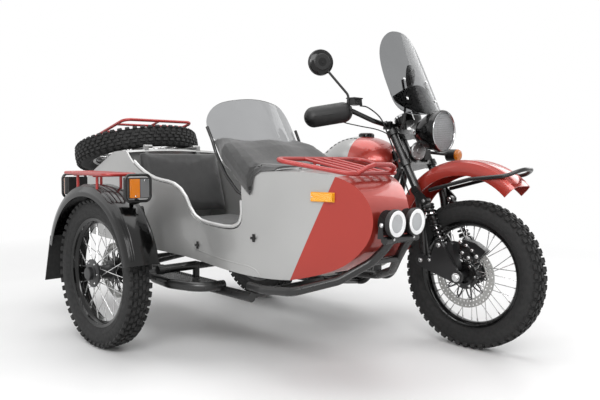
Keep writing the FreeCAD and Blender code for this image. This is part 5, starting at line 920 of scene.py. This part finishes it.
def make_gauge():
    """Speedometer: bezel, pale dial with marks, and a red needle."""
    up = Vector((-0.4837, 0, 0.8752))
    at = turned_to(spot(1093.2, 0, 1058.5) + up * 0.020, up)
    form = Form()
    form.spin(profile(44, 0, 44.5, 4, 47, 6.5, 49.5, 4, 49.5, -6, 47, -6), 64, 1, at)
    form.dish(profile(0, 0.6, 44.5, 0.6), 64, 0, at)
    for i in range(31):
        turn = math.radians(-40 + 260 * i / 30)
        size = 0.0085 if i % 5 == 0 else 0.0045
        mark = at @ Matrix.Rotation(-turn, 4, "Y")
        form.block((0.0415 - size, -0.0003, -0.0004), (0.0415, 0.0011, 0.0004), 2, mark)
    needle = at @ Matrix.Rotation(math.radians(40), 4, "Y")
    form.block((-0.008, 0.0012, -0.0011), (0.0340, 0.0022, 0.0011), 3, needle)
    form.dish(profile(0, 3.5, 4.2, 3, 4.8, 1), 24, 2, at)
    form.make("speedometer_dial", ["dial", "chrome", "gloss_black", "red_paint"], "steering",
              (), "black_plastic")


# Places on surfaces.

SURFACES = {}
IMAGE = (600, 400)


def touch(node, start, direction):
    """Where a line meets a node's surface, and the surface's outward direction there."""
    if node not in SURFACES:
        mesh = NODES[node].data
        SURFACES[node] = BVHTree.FromPolygons([v.co for v in mesh.vertices],
                                              [tuple(p.vertices) for p in mesh.polygons])
    place, normal, _, _ = SURFACES[node].ray_cast(start, Vector(direction).normalized())
    if place is None:
        return None
    return place, -normal if normal.dot(direction) > 0 else normal


def seen(node, px, py):
    """The surface point that the camera shows at a pixel of the frame."""
    camera = bpy.context.scene.camera
    scale = camera.data.sensor_width / camera.data.lens / IMAGE[0]
    ray = Vector(((px - IMAGE[0] / 2) * scale, (IMAGE[1] / 2 - py) * scale, -1))
    return touch(node, camera.matrix_world.translation.copy(), camera.matrix_world.to_3x3() @ ray)


def laid_on(place, normal):
    """A place on a surface: Y outward, X level along it."""
    y = normal.normalized()
    x = y.cross(Z).normalized()
    return Matrix.Translation(place) @ Matrix((x, y, x.cross(y))).transposed().to_4x4()


# Bars, hoses and tank details of the motorcycle.

LEVER = ((0, 0, 0), (-0.006, 0.035, -0.010), (-0.030, 0.085, -0.020), (-0.062, 0.135, -0.030),
         (-0.074, 0.152, -0.033))


def make_controls():
    """Ribbed grips, levers, switch boxes, brake reservoir and bar clamps."""
    form = Form()
    for side in (-1, 1):
        inner, outer = spot(921.1, side * 306, 1100.2), spot(848.9, side * 425, 1075)
        run = (outer - inner).normalized()
        at = turned_to(inner + run * 0.006, run)
        outline = profile(20.5, 0, 20.5, 4)
        for i in range(16):
            near = 0.006 + i * 0.0074
            outline += [(0.0176, near), (0.0188, near + 0.0012), (0.0188, near + 0.0052),
                        (0.0176, near + 0.0064)]
        outline += profile(20, 126, 20, 130, 15, 133.5)
        form.spin(outline, 40, 1, at, False)
        perch = inner - run * 0.030
        form.spin(profile(16.5, -13, 18.5, -10, 18.5, 10, 16.5, 13), 32, 0, turned_to(perch, run), False)
        pivot = perch + X * 0.027 + Vector((0, side * 0.008, -0.006))
        form.rod(perch + X * 0.010, pivot, 0.0105, 0, 20, 0.0125)
        form.rod(pivot - Z * 0.009, pivot + Z * 0.009, 0.0115, 0, 24)
        form.bolt(pivot + Z * 0.009, Z, 0.0045, 0.003, 2)
        line = [pivot + Vector((x, side * y, z)) for x, y, z in LEVER]
        form.tube(line, [0.0072, 0.0068, 0.0060, 0.0056, 0.0080], 0, 14)
        box = laid_on(inner - run * 0.008, -X)
        form.block((-0.019, -0.024, -0.021), (0.019, 0.022, 0.022), 0, box, 0.86)
        form.rod(inner - X * 0.022 + Z * 0.006, inner - X * 0.029 + Z * 0.006, 0.005, 3, 16)
    place = spot(968, -243, 1128)
    form.block((-0.026, -0.030, 0.0), (0.026, 0.030, 0.030), 0, place, 0.92)
    form.block((-0.028, -0.032, 0.030), (0.028, 0.032, 0.036), 0, place, 0.96)
    for x, y in ((-0.018, -0.022), (0.018, -0.022), (-0.018, 0.022), (0.018, 0.022)):
        form.bolt(place + Vector((x, y, 0.036)), Z, 0.003, 0.0016, 2)
    for side in (-1, 1):
        clamp = spot(1036, side * 60, 1035)
        form.block((-0.021, -0.014, -0.020), (0.021, 0.014, 0.020), 0, clamp, 0.9)
        for k in (-1, 1):
            form.bolt(clamp + Vector((k * 0.013, 0, 0.020)), Z, 0.0042, 0.004, 2)
    soften(form.make("bar_controls", ["plastic", "rubber", "steel", "red_paint"], "steering", (),
                     "black_plastic"), 0.0014)


def rounded(points, steps=8):
    """A smooth line through the points."""
    ends = [points[0] * 2 - points[1], *points, points[-1] * 2 - points[-2]]
    path = []
    for a, b, c, d in zip(ends, ends[1:], ends[2:], ends[3:]):
        bend, twist = a * 2 - b * 5 + c * 4 - d, b * 3 - a - c * 3 + d
        for t in (i / steps for i in range(steps)):
            path.append(0.5 * (b * 2 + (c - a) * t + bend * t * t + twist * t ** 3))
    return path + [points[-1]]


def make_hose(name, places, radius):
    """A stiff rubber hose on the steering."""
    curve = bpy.data.curves.new(name, "CURVE")
    curve.dimensions = "3D"
    curve.bevel_depth = radius
    curve.bevel_resolution = 3
    line = curve.splines.new("NURBS")
    path = rounded([spot(*place) for place in places])
    line.points.add(len(path) - 1)
    for point, place in zip(line.points, path):
        point.co = (*place, 1)
    line.order_u = 3
    line.use_endpoint_u = True
    line.resolution_u = 4
    curve.materials.append(LOOKS["rubber"])
    piece = linked(name, curve)
    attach(piece, "steering")


CONTROL_RUN = ((905, 300, 1078), (925, 282, 1048), (985, 225, 1028), (1045, 165, 1012), (1088, 126, 988),
               (1117, 106, 956))
BRAKE_RUN = ((985, -222, 1126), (1018, -196, 1116), (1066, -158, 1064), (1108, -146, 972),
             (1150, -142, 880), (1190, -140, 790), (1232, -140, 700))


def make_hoses():
    """Throttle and clutch cables from the grips, and the brake hose from its reservoir to the fork."""
    make_hose("throttle_cable", [(x, -y, z) for x, y, z in CONTROL_RUN], 0.0028)
    make_hose("clutch_cable", CONTROL_RUN, 0.0028)
    make_hose("brake_hose", BRAKE_RUN, 0.0034)


def make_tank_details():
    """Filler cap, rubber side strips and a dashed line along each shoulder."""
    form = Form()
    cap = touch("fuel_tank", spot(848, 0, 1100), -Z)[0]
    outline = profile(0, 5, 24, 4.5, 34, 3, 38.5, -1, 40, -6, 40, -26, 36, -30)
    form.dish(outline, 48, 0, turned_to(cap, Z))
    for way in around(24, 1.0):
        out = Vector((way.x, way.z, 0))
        form.rod(cap + out * 0.0400 - Z * 0.022, cap + out * 0.0392 - Z * 0.003, 0.0019, 0, 6)
    form.spin(profile(40, -28, 45, -28, 46, -24, 43, -21, 40, -21), 48, 1,
              turned_to(cap, Z))
    for side in (-1, 1):
        line = []
        for i in range(15):
            x = 628 + i * 27
            hit = touch("fuel_tank", spot(x, side * 300, 822 + 6 * math.sin(i / 14 * math.pi)), Y * -side)
            if hit:
                line.append(hit[0] + hit[1] * 0.001)
        form.tube(line, [0.004] + [0.0095] * (len(line) - 2) + [0.004], 2, 12)
        for i in range(9):
            hit = touch("fuel_tank", spot(606 + i * 28, side * 78, 1100), -Z)
            if hit and hit[1].z > 0.3:
                ahead = touch("fuel_tank", spot(624 + i * 28, side * 78, 1100), -Z)
                if ahead:
                    at = turned_to(hit[0] + hit[1] * 0.0002, ahead[0] - hit[0])
                    form.block((-0.0032, 0.0, -0.0012), (0.0032, 0.017, 0.0012), 0, at)
    form.make("tank_trim", ["gloss_black", "steel", "rubber"], "root", (), "gloss_black")


SCREEN_CURVE = 420.0
SCREEN_LEAN = math.radians(26.0)


def screen_point(y, z, back=0.0):
    """A point of the tall screen's surface, in millimetres across and up from its foot."""
    x = math.sqrt(SCREEN_CURVE ** 2 - y * y) - SCREEN_CURVE - back
    cos, sin = math.cos(SCREEN_LEAN), math.sin(SCREEN_LEAN)
    return spot(1245.75 + x * cos - z * sin, y, 1082 + x * sin + z * cos)


def make_visor():
    """Black band behind the tall screen's foot, its mount arms and their screws."""
    form = Form()
    rows = []
    for i in range(13):
        rise = i / 12
        row = []
        for k in range(25):
            across = k / 12 - 1
            half = 150 + 30 * math.sin(min(1.0, rise * 1.3) * math.pi / 2)
            top = 168 - 52 * abs(across) ** 1.6
            low = 10 + 46 * abs(across) ** 2.2
            row.append(screen_point(across * half, low + (top - low) * rise, 7.0))
        rows.append(row)
    form.grid(rows, 0)
    visor = form.make("screen_visor", ["gloss_black"], "steering", (), "black_plastic", 60.0)
    visor.modifiers.new("wall", "SOLIDIFY").thickness = 0.003
    form = Form()
    for side in (-1, 1):
        for y, z in ((118, 92), (92, 196)):
            at = screen_point(side * y, z, -1.0)
            form.bolt(at, at - screen_point(side * y, z, 8.0), 0.0055, 0.004, 1)
        arm = [spot(1150, side * 112, 1010), spot(1176, side * 116, 1050),
               screen_point(side * 118, 92, 11.0), screen_point(side * 92, 196, 11.0)]
        form.tube(arm, 0.0060, 0, 12)
    form.make("screen_arms", ["frame_black", "steel"], "steering", (), "frame_black")


def make_horn():
    """Round horn and a junction box between the fork's clamps, under the lamp."""
    form = Form()
    at = turned_to(spot(1196, -34, 908), X - Y * 0.25)
    form.dish(profile(0, 20, 14, 20, 16, 16, 40, 14, 44.5, 10, 44.5, 4, 40, 0, 26, -12, 24, -24, 0, -26),
              48, 0, at)
    for place in around(8, 0.037, 0.014):
        form.bolt(at @ place, at.to_3x3() @ Y, 0.0026, 0.002, 1)
    box = Matrix.Translation(spot(1188, 42, 890))
    form.block((-0.020, -0.026, -0.024), (0.020, 0.026, 0.026), 2, box, 0.9)
    form.rod(spot(1150, -20, 925), spot(1180, -30, 912), 0.008, 2, 16)
    form.rod(spot(1150, 30, 910), spot(1172, 40, 896), 0.008, 2, 16)
    soften(form.make("horn", ["alloy", "steel", "plastic"], "steering", (), "engine_alloy"), 0.001)


def make_hub_cover():
    """Black cover with small bolts and a long cap on the sidecar wheel's outer side."""
    form = Form()
    at = turned_to(SIDE, -Y)
    form.dish(profile(0, 47, 60, 47, 64, 50, 64, 53, 60, 56, 33, 57.5, 30, 60, 29, 76, 26, 79, 0, 80), 64,
              0, at)
    for place in around(6, 0.049, 0.0560):
        form.bolt(at @ place, -Y, 0.0036, 0.003, 1)
    form.make("sidecar_hub_cover", ["dark_metal", "steel"], "sidecar_wheel_set", (), "wheel_black")


# Fender ribs, bolts and the step's mesh.

def arc_on(form, node, centre, y, first, last, lift, radius, slot, count=48):
    """A thin rib that follows a fender at one distance from its middle plane."""
    line = []
    for i in range(count + 1):
        turn = math.radians(first + (last - first) * i / count)
        out = Vector((math.cos(turn), 0, math.sin(turn)))
        start = Vector((centre.x, y, centre.z)) + out * 0.60
        hit = touch(node, start, -out)
        if hit:
            line.append(hit[0] + hit[1] * lift)
    if len(line) > 2:
        form.tube(line, radius, slot, 8)


def make_fender_ribs():
    form = Form()
    centre = spot(1468, 0, 490)
    for y in (-0.052, 0.052):
        arc_on(form, "front_fender", centre, centre.y + y, 49, 189, -0.0016, 0.0034, 0)
    for y in (-0.064, 0.064):
        arc_on(form, "front_fender", centre, centre.y + y, 49, 189, -0.0016, 0.0028, 0)
    form.make("front_fender_ribs", ["terracotta"], "steering", (), "terracotta")
    form = Form()
    centre = spot(330, -1240, 342)
    for y in (-0.062, -0.070, -0.078):
        arc_on(form, "sidecar_fender", centre, centre.y + y, 15, 161, -0.0012, 0.0030, 0)
    form.make("sidecar_fender_ribs", ["gloss_black"], "root", (), "gloss_black")


STEP_LEVEL = 331.0
STRIP_PITCH = 17.0


def make_step_mesh():
    """Woven strips across the step's loop, on a thin border."""
    corners = [(345, -955), (398, -1034), (552, -1094), (698, -1112), (842, -1068), (848, -955)]
    form = Form()
    for lean in (-1, 1):
        for i in range(-80, 90):
            offset = i * STRIP_PITCH
            cuts = []
            for (x0, y0), (x1, y1) in zip(corners, corners[1:] + corners[:1]):
                a = x0 + lean * (y0 + 1000) * 1.6 - 600 - offset
                b = x1 + lean * (y1 + 1000) * 1.6 - 600 - offset
                if a * b < 0:
                    share = a / (a - b)
                    cuts.append((x0 + (x1 - x0) * share, y0 + (y1 - y0) * share))
            if len(cuts) == 2:
                form.rod(spot(*cuts[0], STEP_LEVEL + lean), spot(*cuts[1], STEP_LEVEL + lean), 0.0021, 0, 6)
    form.tube([spot(x, y, STEP_LEVEL) for x, y in corners], 0.004, 0, 8, True)
    form.make("step_mesh", ["frame_black"], "root", (), "frame_black")


def make_body_details():
    """Side marker, clips, studs and embossed lip of the sidecar."""
    form = Form()
    place, normal = touch("sidecar_tub", spot(1384, -1400, 728), Y)
    at = laid_on(place, normal)
    form.block((-0.0480, -0.004, -0.0180), (0.0480, 0.0045, 0.0180), 1, at)
    form.block((-0.0455, 0.0045, -0.0155), (0.0010, 0.0145, 0.0155), 0, at)
    form.block((0.0016, 0.0045, -0.0155), (0.0455, 0.0125, 0.0155), 0, at)
    for x in (-0.0405, 0.0405):
        form.bolt(at @ Vector((x, 0.0125, 0)), normal, 0.0020, 0.0016, 2)
    soften(form.make("side_marker", ["marker", "amber_edge", "steel"], "root", (), "amber_lens"), 0.0018)
    form = Form()
    for px, py in ((254, 238), (198, 245)):
        place, normal = seen("sidecar_tub", px, py)
        at = laid_on(place, normal)
        form.block((-0.005, 0, -0.016), (0.005, 0.006, 0.016), 0, at)
        form.block((-0.012, 0.004, -0.005), (0.012, 0.010, 0.005), 0, at)
    for px, py in ((250, 188), (260, 166)):
        hit = seen("apron", px, py)
        if hit:
            at = turned_to(hit[0], hit[1])
            form.dish(profile(0, 4, 5, 3.4, 7.5, 1, 8, 0), 24, 0, at)
    soften(form.make("tub_clips", ["gloss_black"], "root", (), "gloss_black"), 0.001)
    form = Form()
    line = []
    for x, z in ((700, 468), (800, 455), (900, 443), (990, 436), (1050, 432), (1082, 424),
                 (1100, 410), (1110, 398)):
        hit = touch("sidecar_tub", spot(x, -1400, z), Y)
        if hit:
            line.append(hit[0] - hit[1] * 0.0012)
    form.tube(line, 0.0032, 0, 8)
    form.make("tub_lip", ["tub"], "root", (), "silver_paint")


# Cushions and cloth.

CLOTH_STEPS = 20
AIR_PRESSURE = 4.0
SKIN_CELL = 0.009
SKIN_INSET = 0.006
PUFF_LIMIT = 0.010
SEAM_DEPTH = 0.004
SEAM_WIDTH = 0.006


def evaluated(piece):
    """A piece's mesh with its modifiers applied."""
    graph = bpy.context.evaluated_depsgraph_get()
    return bpy.data.meshes.new_from_object(piece.evaluated_get(graph))


def even_skin(node, name):
    """A node's shape as an even skin of small faces."""
    piece = linked(name, NODES[node].data.copy())
    remesh = piece.modifiers.new("even", "REMESH")
    remesh.mode = "VOXEL"
    remesh.voxel_size = SKIN_CELL
    mesh = evaluated(piece)
    piece.modifiers.clear()
    piece.data = mesh
    return piece


def set_points(mesh, points):
    mesh.vertices.foreach_set("co", [c for p in points for c in p])
    mesh.update()


def puffed(piece):
    """The skin's points after air pressure has filled it, each moved by no more than the limit."""
    points = [v.co - v.normal * SKIN_INSET for v in piece.data.vertices]
    set_points(piece.data, points)
    cloth = piece.modifiers.new("air", "CLOTH")
    cloth.settings.use_pressure = True
    cloth.settings.uniform_pressure_force = AIR_PRESSURE
    cloth.settings.effector_weights.gravity = 0.0
    for step in range(1, CLOTH_STEPS + 1):
        bpy.context.scene.frame_set(step)
    full = evaluated(piece)
    for i, vertex in enumerate(full.vertices):
        move = vertex.co - points[i]
        if move.length > PUFF_LIMIT:
            move = move.normalized() * PUFF_LIMIT
        points[i] = points[i] + move
    piece.modifiers.clear()
    bpy.data.meshes.remove(full)
    bpy.context.scene.frame_set(1)
    return points


def make_pad(node, name, seams):
    """A puffed cushion with sewn channels.

    A seam is a direction, a distance that way, the side it is on, and how squarely faces look there.
    """
    piece = even_skin(node, name)
    mesh = piece.data
    points = puffed(piece)
    set_points(mesh, points)
    normals = [v.normal.copy() for v in mesh.vertices]
    pressed = []
    for point, normal in zip(points, normals):
        push = 0.0
        for direction, distance, facing, least in seams:
            if normal.dot(facing) > least:
                away = (point.dot(direction) - distance) / SEAM_WIDTH
                push = max(push, SEAM_DEPTH * math.exp(-away * away))
        pressed.append(point - normal * push)
    set_points(mesh, pressed)
    mesh.materials.clear()
    mesh.materials.append(LOOKS["seat"])
    mesh.polygons.foreach_set("use_smooth", [True] * len(mesh.polygons))
    round_off = piece.modifiers.new("round", "SUBSURF")
    round_off.levels = 1
    round_off.render_levels = 1
    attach(piece, "root")
    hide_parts(node)


def make_cushions():
    inset = 0.022
    low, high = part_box("seat_back")
    seams = [(Y, y, X, 0.2) for y in (low.y + inset, high.y - inset)]
    make_pad("seat_back", "sidecar_backrest", seams)
    low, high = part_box("seat_cushion")
    seams = [(Y, low.y + inset, Z, 0.2), (Y, high.y - inset, Z, 0.2), (X, high.x - inset, Z, 0.2),
             (Z, high.z - 0.030, X, 0.5)]
    make_pad("seat_cushion", "sidecar_seat_pad", seams)
    seams = [(X, spot(x, 0, 0).x, Z, 0.15) for x in (40, 120, 200, 330, 400, 470)]
    seams += [(Y, middle("saddle").y + side * 0.105, Z, 0.15) for side in (-1, 1)]
    make_pad("saddle", "bench_saddle", seams)


CLOTH_CELL = 0.016
FOLD_HEIGHT = 0.0006
CLOTH_WAVE = 0.0012


def make_apron():
    """The cloth between screen and cowl, with soft folds that run from the screen's corners."""
    mesh = NODES["apron"].data.copy()
    work = bmesh.new()
    work.from_mesh(mesh)
    bmesh.ops.remove_doubles(work, verts=work.verts, dist=0.00003)
    for _ in range(5):
        long_edges = [e for e in work.edges if e.calc_length() > CLOTH_CELL]
        if not long_edges:
            break
        bmesh.ops.subdivide_edges(work, edges=long_edges, cuts=1)
        bmesh.ops.triangulate(work, faces=work.faces)
    low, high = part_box("apron")
    axis = Vector((0, (low.y + high.y) / 2, spot(0, 0, 640).z))
    half = (high.y - low.y) / 2
    for vertex in work.verts:
        p = vertex.co
        out = Vector((0, p.y - axis.y, (p.z - axis.z) * 1.4)).normalized()
        across = (p.y - axis.y) / half
        ahead = (p.x - low.x) / (high.x - low.x)
        fade = min(1.0, 3 * ahead) * max(0.0, 1 - ahead)
        folds = math.sin(26 * abs(across) + 9 * ahead) * FOLD_HEIGHT * fade
        hang = noise.noise(Vector((p.x * 7, p.y * 5, p.z * 5))) * CLOTH_WAVE
        vertex.co = p + out * (folds + hang) * (0.35 + 0.65 * abs(across))
    work.to_mesh(mesh)
    work.free()
    mesh.materials.clear()
    mesh.materials.append(LOOKS["apron"])
    piece = place_mesh(mesh, "apron_cloth", "root", ["apron"], 50.0)


# Floor, backdrop and light.

def make_world():
    """White where the camera, a mirror or glass sees it; a softer light on the shapes."""
    world = bpy.data.worlds.new("studio")
    bpy.context.scene.world = world
    t = Tree("studio", world)
    rays = [t.node("LightPath", {}, kind + " Ray") for kind in ("Is Camera",
                                                                "Is Glossy", "Is Transmission")]
    white = t.maths("MAXIMUM", t.maths("MAXIMUM", rays[0], rays[1]), rays[2])
    backdrop = t.nodes["Background"]
    backdrop.inputs["Color"].default_value = (1, 1, 1, 1)
    t.link(t.spread(white, 0.42, 1.0, 0, 1), backdrop.inputs["Strength"])


def make_floor():
    mesh = bpy.data.meshes.new("floor")
    mesh.from_pydata([(x, y, -0.0005) for x, y in ((-9, -9), (9, -9), (9, 9), (-9, 9))], [], [(0, 1, 2, 3)])
    t = Tree("floor")
    t.colour(t.mix(t.spread(t.noise(1.2, 2.0), 0, 1), [0.86, 0.86, 0.86, 1], [0.9, 0.9, 0.9, 1]))
    t.roughness(0.45, 0.6, 3.0, 2.0)
    glow = t.node("Emission", {"Strength": 1.0})
    away = t.node("VectorMath", {0: t.place}, "Value", operation="LENGTH")
    blend = t.node("MixShader", {0: t.spread(away, 0.0, 1.0, 1.6, 4.2), 1: t.shader.outputs[0], 2: glow})
    t.link(blend, t.nodes["Material Output"].inputs["Surface"])
    mesh.materials.append(t.material)
    floor = linked("floor", mesh)


def softbox(name, position, target, size, power):
    data = bpy.data.lights.new(name, "AREA")
    data.shape = "RECTANGLE"
    data.size, data.size_y = size
    data.energy = power
    lamp = linked(name, data)
    turn = (Vector(target) - Vector(position)).to_track_quat("-Z", "Y")
    lamp.matrix_world = Matrix.LocRotScale(Vector(position), turn, None)


def make_lights():
    softbox("key", (3.4, -3.0, 3.4), (0.4, 0, 0.4), (3.0, 2.2), 104)
    softbox("near", (1.15, -2.15, 1.75), (0.35, -0.56, 0.62), (1.1, 0.5), 15)
    softbox("top", (-0.4, 0.2, 4.4), (0, 0, 0), (4.0, 4.0), 110)
    softbox("fill", (-3.4, -3.2, 2.2), (0, 0, 0.5), (2.4, 2.4), 16)
    softbox("rim", (1.0, 4.0, 2.6), (0, 0, 0.6), (3.0, 2.0), 50)


for build in (make_camera, make_world, make_floor, make_lights, dress_nodes, make_wheels, make_discs,
              make_shocks, make_fork_bolts, make_headlamp, make_spot_lamps, make_fender_lamps,
              make_signals, make_mirrors, make_gauge, make_controls, make_hoses, make_tank_details,
              make_fender_ribs, make_step_mesh, make_body_details, make_visor, make_horn,
              make_hub_cover, make_cushions, make_apron):
    build()

bpy.context.scene.view_settings.view_transform = "Standard"

bpy.context.view_layer.update()
